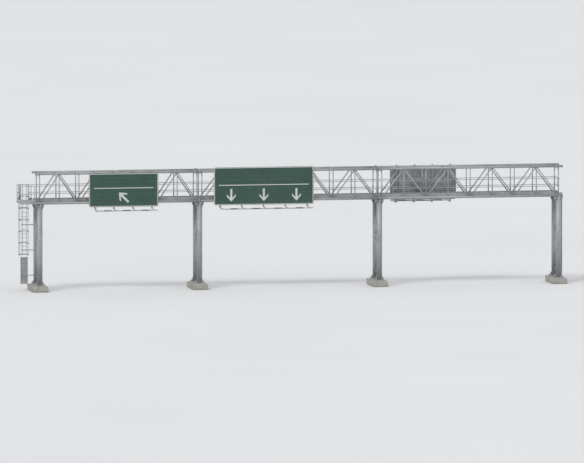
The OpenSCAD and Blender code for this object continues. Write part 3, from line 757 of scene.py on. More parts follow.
class Piece:
    """One joined mesh."""

    def __init__(self, name, *mats):
        self.name, self.mats = name, mats
        self.V, self.G, self.n = [], [], 0

    def put(self, shape, mat=0, M=None):
        V, G = shape
        flip = False
        if M is not None:
            M = np.asarray(M, float)
            V = V @ M[:3, :3].T + M[:3, 3]
            flip = np.linalg.det(M[:3, :3]) < 0
        self.V.append(V)
        for F, s in G:
            F = F + self.n
            self.G.append((F[:, ::-1] if flip else F, s, mat))
        self.n += len(V)
        return self

    def many(self, shape, Ms, mat=0):
        for M in Ms:
            self.put(shape, mat, M)
        return self

    def make(self, *nodes, slot=None):
        V = np.concatenate(self.V)
        loops, starts, mats, smooth, at = [], [], [], [], 0
        for F, s, m in self.G:
            k = F.shape[1]
            loops.append(F.ravel())
            starts.append(at + k * np.arange(len(F)))
            at += F.size
            mats.append(np.full(len(F), m, np.int32))
            smooth.append(np.full(len(F), s, bool))
        me = bpy.data.meshes.new(self.name)
        me.vertices.add(len(V))
        me.vertices.foreach_set("co", V.astype(np.float32).ravel())
        loops = np.concatenate(loops).astype(np.int32)
        starts = np.concatenate(starts).astype(np.int32)
        me.loops.add(len(loops))
        me.loops.foreach_set("vertex_index", loops)
        me.polygons.add(len(starts))
        me.polygons.foreach_set("loop_start", starts)
        me.polygons.foreach_set("material_index", np.concatenate(mats))
        me.polygons.foreach_set("use_smooth", np.concatenate(smooth))
        me.update(calc_edges=True)
        me.validate()
        for m in self.mats:
            me.materials.append(m)
        o = bpy.data.objects.new(self.name, me)
        bpy.context.scene.collection.objects.link(o)
        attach(o, "root")
        if nodes:
            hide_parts(*nodes)
        return o


X, Y, Z = np.eye(3)
STEEL_SLOT = "galvanised_steel"

# =====================================================================
# Plinths
# =====================================================================


def perimeter(hx, hy, step, near=0.006):
    """Points round a rectangle, with one close to each side of every corner."""
    def side(a, b):
        a, b = np.array(a, float), np.array(b, float)
        L = np.linalg.norm(b - a)
        n = max(2, int(round((L - 2 * near) / step)))
        s = np.concatenate([[0, near], near + (L - 2 * near) * np.arange(1, n) / n, [L - near]])
        return a + (b - a) * (s / L)[:, None]
    c = [(-hx, -hy), (hx, -hy), (hx, hy), (-hx, hy)]
    return np.concatenate([side(c[i], c[(i + 1) % 4]) for i in range(4)])


def cast_block(hx, hy, rings, seed, rough=0.0016, chips=0.012, centre=(0, 0)):
    """Cast block: rings is [(z, drawn in by), ...]. The faces wander and the arrises are chipped, always inward."""
    base = perimeter(hx, hy, 0.05)
    k = len(base)
    S = []
    A = np.zeros(k)
    for i, (z, ins) in enumerate(rings):
        P = base * np.array([(hx - ins) / hx, (hy - ins) / hy])
        for j in range(k):
            x, y = P[j]
            ex, ey = hx - abs(x), hy - abs(y)
            if i in (0, len(rings) - 1):
                A[j] = 0.0
            elif i < len(rings) - 2:
                A[j] = 0.0007 + abs(noise.noise(Vector((x * 2.1 + seed, y * 2.1, z * 2.1)))) * rough * 1.5
                ch = noise.noise(Vector((x * 9 + seed * 3, y * 9, z * 9)))
                if ((ex < 0.03 and ey < 0.03) or z > rings[-3][0] - 0.004) and ch > 0.33:
                    A[j] += chips * (ch - 0.33) * 3
                if max(ex, ey) < ins + 0.012:
                    A[j] = min(A[j], 0.0045)
            # a corner moves both ways, the rest square to their side
            if ex <= ey + 1e-6:
                x -= math.copysign(min(A[j], abs(x)), x)
            if ey <= ex + 1e-6:
                y -= math.copysign(min(A[j], abs(y)), y)
            P[j] = (x, y)
        S.append(np.column_stack([P[:, 0] + centre[0], P[:, 1] + centre[1], np.full(k, z)]))
    V, G = loft(S, smooth=True, caps=False)
    # top and underside as fans about their middles
    V = np.concatenate([V, [[*centre, rings[0][0]], [*centre, rings[-1][0]]]])
    j, m = np.arange(k), len(rings)
    jn, b = (j + 1) % k, (m - 1) * k
    return solid(V, G + [(np.stack([jn, j, np.full(k, m * k)], 1), False), (np.stack([b + j, b + jn, np.full(k, m * k + 1)], 1), False)])


def as_object(name, shape):
    V, G = shape
    me = bpy.data.meshes.new(name)
    me.from_pydata([tuple(v) for v in V], [], [tuple(int(a) for a in f) for F, _ in G for f in F])
    o = bpy.data.objects.new(name, me)
    bpy.context.scene.collection.objects.link(o)
    return o


def bored(shape, cutter):
    """shape with cutter taken away, as triangles."""
    a, b = as_object("work_block", shape), as_object("work_bore", cutter)
    a.data.polygons.foreach_set("use_smooth", [sm for F, sm in shape[1] for _ in F])
    md = a.modifiers.new("bore", "BOOLEAN")
    md.operation, md.object, md.solver = "DIFFERENCE", b, "EXACT"
    me = bpy.data.meshes.new_from_object(a.evaluated_get(bpy.context.evaluated_depsgraph_get()))
    me.calc_loop_triangles()
    V = np.array([v.co for v in me.vertices], float)
    T = np.array([t.vertices for t in me.loop_triangles], np.int64)
    sm = np.array([me.polygons[t.polygon_index].use_smooth for t in me.loop_triangles])
    for o in (a, b):
        bpy.data.objects.remove(o)
    bpy.data.meshes.remove(me)
    return V, [(T[sm], True), (T[~sm], False)]


def make_plinth(i):
    hx, hy, h = 0.55, 1.325, 0.4
    rings = [(0, 0), (0.004, 0), (0.05, 0), (0.1, 0), (0.15, 0), (0.2, 0), (0.25, 0), (0.3, 0), (0.34, 0), (h - 0.031, 0), (h - 0.025, 0),
             (h - 0.012, 0.013), (h, 0.025), (h, 0.031), (h, 0.09)]
    p = Piece(f"plinth_{i + 1}_cast", CONC, GROUT, CONC_PLUG, BLACK)
    V, G = cast_block(hx, hy, rings, 3.7 * i + 1.3)
    body = (V + np.array([LEG[i], 0, 0]), G)
    if i == 3:
        body = bored(body, turned((LEG[3] + 0.46, 0.545, -0.1), Z, [(0, 0.0545), (0.7, 0.0545)], 48))
        p.put(annulus((LEG[3] + 0.46, 0.545, 0.0), Z, 0.050, 0.0548, 0.4, 48), 3)
    p.put(body, 0)
    for s in (-1, 1):
        g = cast_block(0.39, 0.39, [(h - 0.004, 0.0), (h + 0.004, 0.001), (h + 0.012, 0.003), (h + 0.024, 0.009), (h + 0.03, 0.014), (h + 0.03, 0.06)], 11.0 * i + s, 0.004, 0.01, (LEG[i], s * Y_C))
        p.put(g, 1)
    # plugged tie holes, 0.6 m apart along the long faces and two at each end
    plug = turned((0, 0, -0.006), Z, [(0, 0.013), (0.0045, 0.0125), (0.0055, 0.010)], 14)
    for y in (-0.9, -0.3, 0.3, 0.9):
        for s in (-1, 1):
            p.put(plug, 2, place((LEG[i] + s * (hx + 0.0003), y, 0.2), (s, 0, 0)))
    for x in (-0.25, 0.25):
        for s in (-1, 1):
            p.put(plug, 2, place((LEG[i] + x, s * (hy + 0.0003), 0.2), (0, s, 0)))
    # earth tape from the base plate's boss down the end face
    if i in (0, 3):
        x = LEG[i] - 0.17
        path = rounded([(x, -1.10, Z_BASE + 0.0015), (x, -1.135, Z_BASE + 0.0015), (x, -1.135, 0.402), (x, -1.327 + 0.02, 0.402), (x, -1.3262, 0.374), (x, -1.3262, 0.0)], 0.012, 4)
        p.put(strip([(q[1], q[2], 0) for q in path], 0.025, 0.0025, (0, 0, 1)), 1, np.array([[0, 0, 1, x], [1, 0, 0, 0], [0, 1, 0, 0], [0, 0, 0, 1.0]]))
    p.make(f"plinth_{i + 1}", slot="concrete")


for i in range(4):
    make_plinth(i)

# =====================================================================
# Legs
# =====================================================================


def make_leg(i):
    p = Piece(f"leg_{i + 1}_fabrication", GALV_LEG, GALV_PLATE, WELD)
    f = Piece(f"leg_{i + 1}_fixings", ZINC)
    nut, stud = bolt_nut(0.020, 0.6), anchor()
    for s in (-1, 1):
        c = np.array([LEG[i], s * Y_C, 0.0])
        p.put(cbox(c + (-0.375, -0.375, 0.430), c + (0.375, 0.375, Z_BASE), 0.004), 1)
        p.put(tube(c + Z * (Z_BASE - 0.004), c + Z * (Z_CAP - 0.028), R_POST, 64), 0)
        p.put(ring_weld(c + Z * (Z_BASE + 0.003), Z, R_POST + 0.002, 0.008, 64), 2)
        p.put(ring_weld(c + Z * (Z_CAP - 0.033), Z, R_POST + 0.002, 0.007, 64), 2)
        # shop butt weld part way up, ground nearly flush
        p.put(ring_weld(c + Z * 3.36, Z, R_POST - 0.0015, 0.0035, 64), 2)
        p.put(cbox(c + (-0.31, -0.21, Z_CAP - 0.030), c + (0.31, 0.21, Z_CAP), 0.003), 1)
        rib = [(R_POST - 0.012, Z_BASE - 0.002), (R_POST + 0.150, Z_BASE - 0.002), (R_POST + 0.150, Z_BASE + 0.04),
               (R_POST + 0.018, Z_BASE + 0.26), (R_POST - 0.012, Z_BASE + 0.26)]
        for a in range(0, 360, 45):
            t = math.radians(a)
            u, w = np.array([math.cos(t), math.sin(t), 0]), np.array([-math.sin(t), math.cos(t), 0])
            p.put(plate(rib, c - w * 0.008, u, Z, w, 0.016, 0.0018), 1)
            for e in (-1, 1):
                a0 = c + u * (R_POST + 0.004) + w * e * 0.008
                fil = [(0, 0), (0.008, 0), (0, 0.008)]
                p.put(extrude_tri(a0 + Z * Z_BASE, a0 + u * 0.145 + Z * Z_BASE, w * e, Z, 0.008), 2)
                p.put(extrude_tri(a0 - u * 0.004 + Z * Z_BASE, a0 - u * 0.004 + Z * (Z_BASE + 0.256), w * e, u, 0.008), 2)
            t += math.radians(22.5)
            u = np.array([math.cos(t), math.sin(t), 0])
            f.put(stud, 0, place(c + u * 0.300 + Z * Z_BASE, Z, u))
        top = [(R_POST - 0.012, Z_CAP - 0.029), (0.300, Z_CAP - 0.029), (0.300, Z_CAP - 0.060), (R_POST + 0.012, Z_CAP - 0.250), (R_POST - 0.012, Z_CAP - 0.250)]
        for e in (-1, 1):
            p.put(plate(top, c - Y * 0.008, X * e, Z, Y, 0.016, 0.0018), 1)
            for g in (-1, 1):
                a0 = c + X * e * R_POST + Y * g * 0.008
                p.put(extrude_tri(a0 + Z * (Z_CAP - 0.248), a0 + Z * (Z_CAP - 0.03), Y * g, X * e, 0.007), 2)
        # saddles: foot plate, webs hollowed to the chord, bolts
        for m in (-1, 1):
            o = c + X * m * 0.205
            zc = Z_CAP
            p.put(cbox(o + (-0.095, -0.155, zc - 0.001), o + (0.095, 0.155, zc + 0.020), 0.002), 1)
            arc = [(R_CH * math.sin(math.radians(a)), Z_B - R_CH * math.cos(math.radians(a))) for a in range(-62, 63, 8)]
            web = [(-0.135, zc + 0.018), (0.135, zc + 0.018), (0.135, zc + 0.032), (arc[-1][0] + 0.012, arc[-1][1])] + arc[::-1] + [(arc[0][0] - 0.012, arc[0][1]), (-0.135, zc + 0.032)]
            for e in (-0.088, 0.076):
                p.put(plate(web, o + X * e, Y, Z, X, 0.012), 1)
            p.put(cbox(o + (-0.078, -0.006, zc + 0.018), o + (0.078, 0.006, Z_B - CH_FLAT), 0.001), 1)
            for a in (-1, 1):
                for b in (-1, 1):
                    f.put(nut, 0, place(o + (a * 0.040, b * 0.122, zc + 0.020), Z, (1, 0.3 * a, 0)))
                    f.put(bolt_head(0.020), 0, place(o + (a * 0.040, b * 0.122, zc - 0.030), -Z, (1, 0.2 * b, 0)))
    p.make(f"leg_{i + 1}", slot=STEEL_SLOT)
    f.make(slot=STEEL_SLOT)


def extrude_tri(a, b, u, v, s):
    """Fillet weld from a to b in the corner between u and v, with a slightly full face."""
    a, b, u, v = (np.asarray(x, float) for x in (a, b, u, v))
    k = 0.55
    S = [[q, q + u * s, q + (u + v) * s * k, q + v * s] for q in (a, b)]
    return loft(S, smooth=False)


for i in range(4):
    make_leg(i)

p = Piece("leg_bracing_tubes", GALV_LEG, WELD)
for i in range(4):
    lv = (1.0, 3.4, 5.8)
    for h in lv:
        c = np.array([LEG[i], 0, h])
        p.put(tube(c - Y * 0.60, c + Y * 0.60, 0.06985, 36))
    for k in (0, 1):
        for s in (-1, 1):
            a = np.array([LEG[i], -s * Y_C, lv[k]])
            b = np.array([LEG[i], s * Y_C, lv[k + 1]])
            d = (b - a) / np.linalg.norm(b - a)
            e = 0.15 / abs(d[1])
            p.put(tube(a + d * e, b - d * e, 0.05715, 32))


def post_side_weld(c0, d, r, i, s, br=0.0065):
    """Weld where a tube meets the near side of the post at s."""
    d, u, w = basis(d)
    n = 36
    t = 2 * math.pi * np.arange(n) / n
    O = np.cos(t)[:, None] * u + np.sin(t)[:, None] * w
    q = np.asarray(c0, float) + r * O - np.array([LEG[i], s * Y_C, 0])
    A = d[0] ** 2 + d[1] ** 2
    B = 2 * (q[:, 0] * d[0] + q[:, 1] * d[1])
    C = q[:, 0] ** 2 + q[:, 1] ** 2 - R_POST ** 2
    k = (-B - np.sqrt(np.maximum(B * B - 4 * A * C, 0))) / (2 * A)
    return bead(np.asarray(c0, float) + r * O + k[:, None] * d, O, br, 5)


for i in range(4):
    for h in (1.0, 3.4, 5.8):
        for s in (-1, 1):
            p.put(post_side_weld((LEG[i], 0, h), Y * s, 0.06985, i, s), 1)
    for z0 in (1.0, 3.4):
        for s in (-1, 1):
            a, b = np.array([LEG[i], -s * Y_C, z0]), np.array([LEG[i], s * Y_C, z0 + 2.4])
            m, d = (a + b) / 2, (b - a) / np.linalg.norm(b - a)
            p.put(post_side_weld(m, d, 0.05715, i, s), 1)
            p.put(post_side_weld(m, -d, 0.05715, i, -s), 1)
        # where the two diagonals cross
        a, b = np.array([0, -1.5, -2.4]), np.array([0, 1.5, -2.4])
        a, b = a / np.linalg.norm(a), b / np.linalg.norm(b)
        m = np.array([LEG[i], 0, z0 + 1.2])
        for s in (-1, 1):
            p.put(saddle_weld(m, a * s, 0.05710, m, b, 0.05715, 0.0055, 36), 1)
p.make("leg_bracing", slot=STEEL_SLOT)

# =====================================================================
# Truss
# =====================================================================


def chord(p, f, b, y, z):
    a, e = np.array([CH_A[b], y, z]), np.array([CH_B[b], y, z])
    p.put(tube(a + X * 0.004, e - X * 0.004, R_CH, 40))
    for end in (0, 1):
        q, sx = (a, 1) if end == 0 else (e, -1)
        if (b == 0 and end == 0) or (b == 2 and end == 1):
            # welded end plate with its seal weld
            p.put(turned(q, X * sx, [(0, R_CH + 0.004), (0.002, R_CH + 0.006), (0.008, R_CH + 0.006), (0.010, R_CH + 0.004)], 40), 1)
            p.put(ring_weld(q + X * sx * 0.011, X, R_CH + 0.0025, 0.0055, 40), 2)
            # plug in the hole left for the zinc to drain
            p.put(turned(q + X * sx * 0.0005 - Z * 0.056, -X * sx, [(0, 0.0110), (0.0025, 0.0105), (0.0035, 0.0080)], 16), 3)
            continue
        p.put(turned(q, X * sx, [(0, R_FL - 0.0015), (0.0015, R_FL), (T_FL - 0.0015, R_FL), (T_FL, R_FL - 0.0015)], 48), 1)
        p.put(ring_weld(q + X * sx * (T_FL + 0.002), X, R_CH + 0.003, 0.007, 40), 2)
        for j in range(8):
            t = 2 * math.pi * j / 8
            r = np.array([0, math.cos(t), math.sin(t)])
            w = np.array([0, -math.sin(t), math.cos(t)])
            P = [(T_FL - 0.001, R_CH - 0.008), (T_FL - 0.001, R_CH + 0.048), (T_FL + 0.008, R_CH + 0.048), (T_FL + 0.062, R_CH + 0.006), (T_FL + 0.062, R_CH - 0.008)]
            p.put(plate(P, q - w * 0.004, X * sx, r, w, 0.008, 0.001), 1)
            t += math.pi / 8
            r = np.array([0, math.cos(t), math.sin(t)])
            hd = HEAD24 if end == 1 else NUT24
            f.put(hd, 0, place(q + X * sx * T_FL + r * 0.117, X * sx, r))


HEAD24, NUT24 = bolt_head(0.022), bolt_nut(0.022, 0.5)
HEAD16, NUT16 = bolt_head(0.014), bolt_nut(0.014, 0.6)
HEAD12, NUT12 = bolt_head(0.011), bolt_nut(0.011, 0.6)
HEAD8 = bolt_head(0.008)

for b in range(3):
    for side, nm in ((-1, "front"), (1, "rear")):
        p = Piece(f"bay_{b + 1}_{nm}_lattice_tubes", GALV, GALV_PLATE, WELD, ZINC)
        y = side * Y_C

        class _F:
            def put(self, sh, m=0, M=None, _p=p):
                _p.put(sh, 3, M)

        chord(p, _F(), b, y, Z_B)
        chord(p, _F(), b, y, Z_T)
        for k in range(NP + 1):
            x = px(b, k)
            lo, hi = np.array([x, y, Z_B]), np.array([x, y, Z_T])
            p.put(tube(lo + Z * 0.03, hi - Z * 0.03, R_V, 24))
            p.put(saddle_weld(lo, Z, R_V, lo, X, R_CH, 0.005, 24), 2)
            p.put(saddle_weld(hi, -Z, R_V, hi, X, R_CH, 0.005, 24), 2)
        for k in range(NP):
            up = k % 2 == 0
            lo = np.array([px(b, k), y, Z_B if up else Z_T])
            hi = np.array([px(b, k + 1), y, Z_T if up else Z_B])
            d = (hi - lo) / np.linalg.norm(hi - lo)
            p.put(tube(lo + d * 0.04, hi - d * 0.04, R_D, 28))
            p.put(saddle_weld(lo, d, R_D, lo, X, R_CH, 0.0055, 28), 2)
            p.put(saddle_weld(hi, -d, R_D, hi, X, R_CH, 0.0055, 28), 2)
        p.make(f"bay_{b + 1}_{nm}_lattice", slot=STEEL_SLOT)

Y_IN = Y_C - CH_FLAT


def plan(p, b, z):
    for k in range(NP + 1):
        x = px(b, k)
        c = np.array([x, 0, z])
        p.put(tube(c - Y * (Y_IN + 0.01), c + Y * (Y_IN + 0.01), R_S, 24))
        for s in (-1, 1):
            p.put(chord_in_weld(x, z, s), 2)
            lo, hi = (-0.06 if k == 0 else -0.15), (0.06 if k == NP else 0.15)
            P = [(lo, Y_IN + 0.004), (hi, Y_IN + 0.004)]
            P += [(hi, Y_IN - 0.075), (hi - (0.035 if hi > 0.1 else 0.0), Y_IN - 0.120)]
            P += [(lo + (0.035 if lo < -0.1 else 0.0), Y_IN - 0.120), (lo, Y_IN - 0.075)]
            p.put(plate([(q[0], s * q[1]) for q in P], (x, 0, z - 0.006), X, Y, Z, 0.012, 0.001), 1)
            for e in (-1, 1):
                p.put(extrude_tri((x + lo + 0.004, s * (Y_IN - 0.001), z + e * 0.006), (x + hi - 0.004, s * (Y_IN - 0.001), z + e * 0.006), Z * e, -Y * s, 0.006), 2)
    for k in range(NP):
        s = 1 if k % 2 == 0 else -1
        a = np.array([px(b, k) + 0.07, -s * (Y_IN - 0.04), z])
        e = np.array([px(b, k + 1) - 0.07, s * (Y_IN - 0.04), z])
        d = (e - a) / np.linalg.norm(e - a)
        w = np.cross(Z, d)
        p.put(tube(a + d * 0.105, e - d * 0.105, R_P, 22))
        for q, g in ((a, d), (e, -d)):
            # end plate and bolted tab over the gusset
            p.put(turned(q + g * 0.097, g, [(0, R_P + 0.001), (0.010, R_P + 0.001)], 22), 1)
            P = [(0.0, -0.022), (0.0, 0.022), (0.10, 0.030), (0.12, 0.030), (0.12, -0.030), (0.10, -0.030)]
            p.put(plate(P, q + Z * 0.0062, g, w, Z, 0.010, 0.001), 1)
            for u in (0.020, 0.062):
                p.put(HEAD16, 3, place(q + g * u + Z * 0.0162, Z, w))
                p.put(NUT16, 3, place(q + g * u - Z * 0.006, -Z, w))


def chord_in_weld(x, z, s):
    """Weld where a plan strut meets the inner side of a chord."""
    n = 24
    t = 2 * math.pi * np.arange(n) / n
    O = np.column_stack([np.cos(t), np.zeros(n), np.sin(t)])
    yy = Y_C - np.sqrt(R_CH ** 2 - (R_S * np.sin(t)) ** 2)
    P = np.column_stack([x + R_S * np.cos(t), s * yy, z + R_S * np.sin(t)])
    return bead(P, O, 0.005, 5)


for b in range(3):
    p = Piece(f"bay_{b + 1}_roof_bracing_tubes", GALV, GALV_PLATE, WELD, ZINC)
    plan(p, b, Z_T)
    p.make(f"bay_{b + 1}_roof_bracing", slot=STEEL_SLOT)
    p = Piece(f"bay_{b + 1}_floor_frame_steel", GALV, GALV_PLATE, WELD, ZINC)
    plan(p, b, Z_B)
    # channel stringers on cleats
    a, e = CH_A[b] + 0.010, CH_B[b] - 0.010
    z0, z1 = Z_B + S_FLAT - 0.006, Z_WALK
    t, w, h = 0.006, 0.05, z1 - z0
    for s in (-1, 1):
        C = [(-w / 2, 0), (w / 2, 0), (w / 2, t), (-w / 2 + t, t), (-w / 2 + t, h - t), (w / 2, h - t), (w / 2, h), (-w / 2, h)]
        P = [(q[0] * -s, q[1]) for q in C]
        p.put(extrude(P, (a, s * 0.445, z0), (e, s * 0.445, z0)), 1)
        for k in range(NP + 1):
            x = px(b, k)
            p.put(cbox((x - 0.03, s * 0.445 - s * 0.034, Z_B + S_FLAT - 0.004), (x + 0.03, s * 0.445 - s * 0.026, z1 - 0.012), 0.001), 1)
            p.put(HEAD12, 3, place((x, s * (0.445 - 0.034), z0 + 0.042), (0, -s, 0)))
    p.make(f"bay_{b + 1}_floor_frame", slot=STEEL_SLOT)

p = Piece("knee_braces_tubes", GALV, WELD)
for x in (px(0, 0), px(0, NP), px(1, 0), px(1, NP), px(2, 0), px(2, NP)):
    for s in (-1, 1):
        a = np.array([x, s * (Y_C - V_FLAT + 0.060), Z_T - 0.480])
        e = np.array([x, s * (Y_C - V_FLAT - 0.400), Z_T - 0.020])
        d = (e - a) / np.linalg.norm(e - a)
        p.put(tube(a + d * 0.065, e - d * 0.02, 0.02415, 20))
        # bead at the vertical and at the strut
        n = 20
        th = 2 * math.pi * np.arange(n) / n
        _, u, w = basis(d)
        O = np.cos(th)[:, None] * u + np.sin(th)[:, None] * w
        q = a + 0.02415 * O - np.array([x, s * Y_C, 0])
        A = d[0] ** 2 + d[1] ** 2
        B = 2 * (q[:, 0] * d[0] + q[:, 1] * d[1])
        Cc = q[:, 0] ** 2 + q[:, 1] ** 2 - R_V ** 2
        t1 = (-B + np.sqrt(np.maximum(B * B - 4 * A * Cc, 0))) / (2 * A)
        p.put(bead(a + 0.02415 * O + t1[:, None] * d, O, 0.0045), 1)
        q = a + 0.02415 * O - np.array([0, 0, Z_T])
        A = d[2] ** 2
        t2 = (Z_T - np.sqrt(np.maximum(R_S ** 2 - (0.02415 * O[:, 0]) ** 2, 0)) - (a + 0.02415 * O)[:, 2]) / d[2]
        p.put(bead(a + 0.02415 * O + t2[:, None] * d, O, 0.0045), 1)
p.make("knee_braces", slot=STEEL_SLOT)

# =====================================================================
# Walkway
# =====================================================================


def grating(p, x0, x1, y0, y1, z, h, along="y", pitch=0.0413, cross=0.10, flat=0.0045, twist=0.0065):
    """One panel of open bar grating, with bearing bars along the named axis."""
    t = 0.005
    p.put(box((x0, y0, z), (x1, y0 + t, z + h)))
    p.put(box((x0, y1 - t, z), (x1, y1, z + h)))
    p.put(box((x0 + 0.0004, y0 + t - 0.0006, z + 0.0003), (x0 + t, y1 - t + 0.0006, z + h - 0.0003)))
    p.put(box((x1 - t, y0 + t - 0.0006, z + 0.0003), (x1 - 0.0004, y1 - t + 0.0006, z + h - 0.0003)))
    if along == "y":
        n = max(2, int(round((x1 - x0) / pitch)))
        for i in range(1, n):
            x = x0 + (x1 - x0) * i / n
            p.put(box((x - flat / 2, y0 + t, z), (x + flat / 2, y1 - t, z + h)))
        m = max(2, int(round((y1 - y0) / cross)))
        for j in range(1, m):
            y = y0 + (y1 - y0) * j / m
            p.put(twisted((x0 + t, y, z + h - twist * 0.62), (x1 - t, y, z + h - twist * 0.62), twist, n))
    else:
        n = max(2, int(round((y1 - y0) / pitch)))
        for i in range(1, n):
            y = y0 + (y1 - y0) * i / n
            p.put(box((x0 + t, y - flat / 2, z), (x1 - t, y + flat / 2, z + h)))
        m = max(2, int(round((x1 - x0) / cross)))
        for j in range(1, m):
            x = x0 + (x1 - x0) * j / m
            p.put(twisted((x, y0 + t, z + h - twist * 0.62), (x, y1 - t, z + h - twist * 0.62), twist, n))


def twisted(a, b, s, turns):
    """Square cross rod, twisted an eighth turn between bearing bars."""
    a, b = np.asarray(a, float), np.asarray(b, float)
    d, u, w = basis(b - a)
    n = turns
    return loft([ring(a + (b - a) * i / n, u, w, s * 0.6, 4, math.radians(45.0 * i)) for i in range(n + 1)], smooth=False)


CV, CG = bolt_head(0.008)
CLIP = merge(cbox((-0.028, -0.012, 0.0), (0.028, 0.012, 0.003), 0.001), (CV + np.array([0, 0, 0.0027]), CG))
for b in range(3):
    p = Piece(f"walkway_grating_bay_{b + 1}", GRATE, ZINC)
    a = CH_A[b] + 0.005
    e = LEG[3] + 0.090 if b == 2 else CH_B[b] - 0.005
    n = int(round((e - a) / 1.0))
    L = (e - a) / n
    for i in range(n):
        x0, x1 = a + i * L + 0.003, a + (i + 1) * L - 0.003
        grating(p, x0, x1, -0.490, 0.490, Z_WALK, 0.030)
        for x in (x0 + 0.12, x1 - 0.12):
            for y in (-0.445, 0.445):
                p.put(CLIP, 1, place((x, y, Z_TREAD - 0.002), Z, X))
    p.make("walkway", slot="walkway_grating")

p = Piece("walkway_toe_boards", GALV_PLATE, ZINC)
for b in range(3):
    a = CH_A[b] + 0.005
    e = LEG[3] + 0.100 if b == 2 else CH_B[b] - 0.005
    n = 4
    for s in (-1, 1):
        y = s * 0.496
        for i in range(n):
            x0, x1 = a + (e - a) * i / n, a + (e - a) * (i + 1) / n
            g0, g1 = (0 if i == 0 else 0.0015), (0 if i == n - 1 else 0.0015)
            p.put(cbox((x0 + g0, y - 0.004, Z_B + S_FLAT), (x1 - g1, y + 0.004, Z_TREAD + 0.150), 0.0015))
            # folded top edge
            p.put(cbox((x0 + g0 + 0.0004, y - 0.0055, Z_TREAD + 0.138), (x1 - g1 - 0.0004, y + 0.0055, Z_TREAD + 0.1504), 0.002))
            if i:
                p.put(cbox((x0 - 0.06, s * 0.4885, Z_TREAD + 0.03), (x0 + 0.06, s * 0.4925, Z_TREAD + 0.12), 0.001))
                for dx in (-0.035, 0.035):
                    for dz in (0.05, 0.10):
                        p.put(HEAD8, 1, place((x0 + dx, s * 0.4885, Z_TREAD + dz), (0, -s, 0)))
        # cleats to the floor struts, on the outer side where there is room
        for k in range(NP + 1):
            x = px(b, k)
            if s < 0 and x < e:
                p.put(cbox((x - 0.02, s * 0.500, Z_B + S_FLAT - 0.002), (x + 0.02, s * 0.506, Z_B + S_FLAT + 0.060), 0.001))
                p.put(cbox((x - 0.0196, s * 0.503, Z_B + S_FLAT - 0.001), (x + 0.0196, s * 0.545, Z_B + S_FLAT + 0.005), 0.001))
                p.put(HEAD8, 1, place((x, s * 0.506, Z_B + S_FLAT + 0.040), (0, s, 0)))
    if b == 2:
        p.put(cbox((e - 0.008, -0.490, Z_WALK), (e, 0.490, Z_TREAD + 0.150), 0.0015))
        p.put(cbox((e - 0.0095, -0.4896, Z_TREAD + 0.138), (e + 0.0015, 0.4896, Z_TREAD + 0.1504), 0.002))
p.make("walkway", slot="walkway_grating")

# =====================================================================
# Guard rails
# =====================================================================


def u_bolt(r_tube, rod, leg, n=10):
    """U-bolt round a tube that stands along Z at the origin; its legs run to x = leg."""
    R = r_tube + rod / 2
    pts = [(leg, R, 0)] + [(R * math.cos(math.radians(t)), R * math.sin(math.radians(t)), 0) for t in np.linspace(90, 270, n)] + [(leg, -R, 0)]
    return sweep(pts, rod / 2, 8)


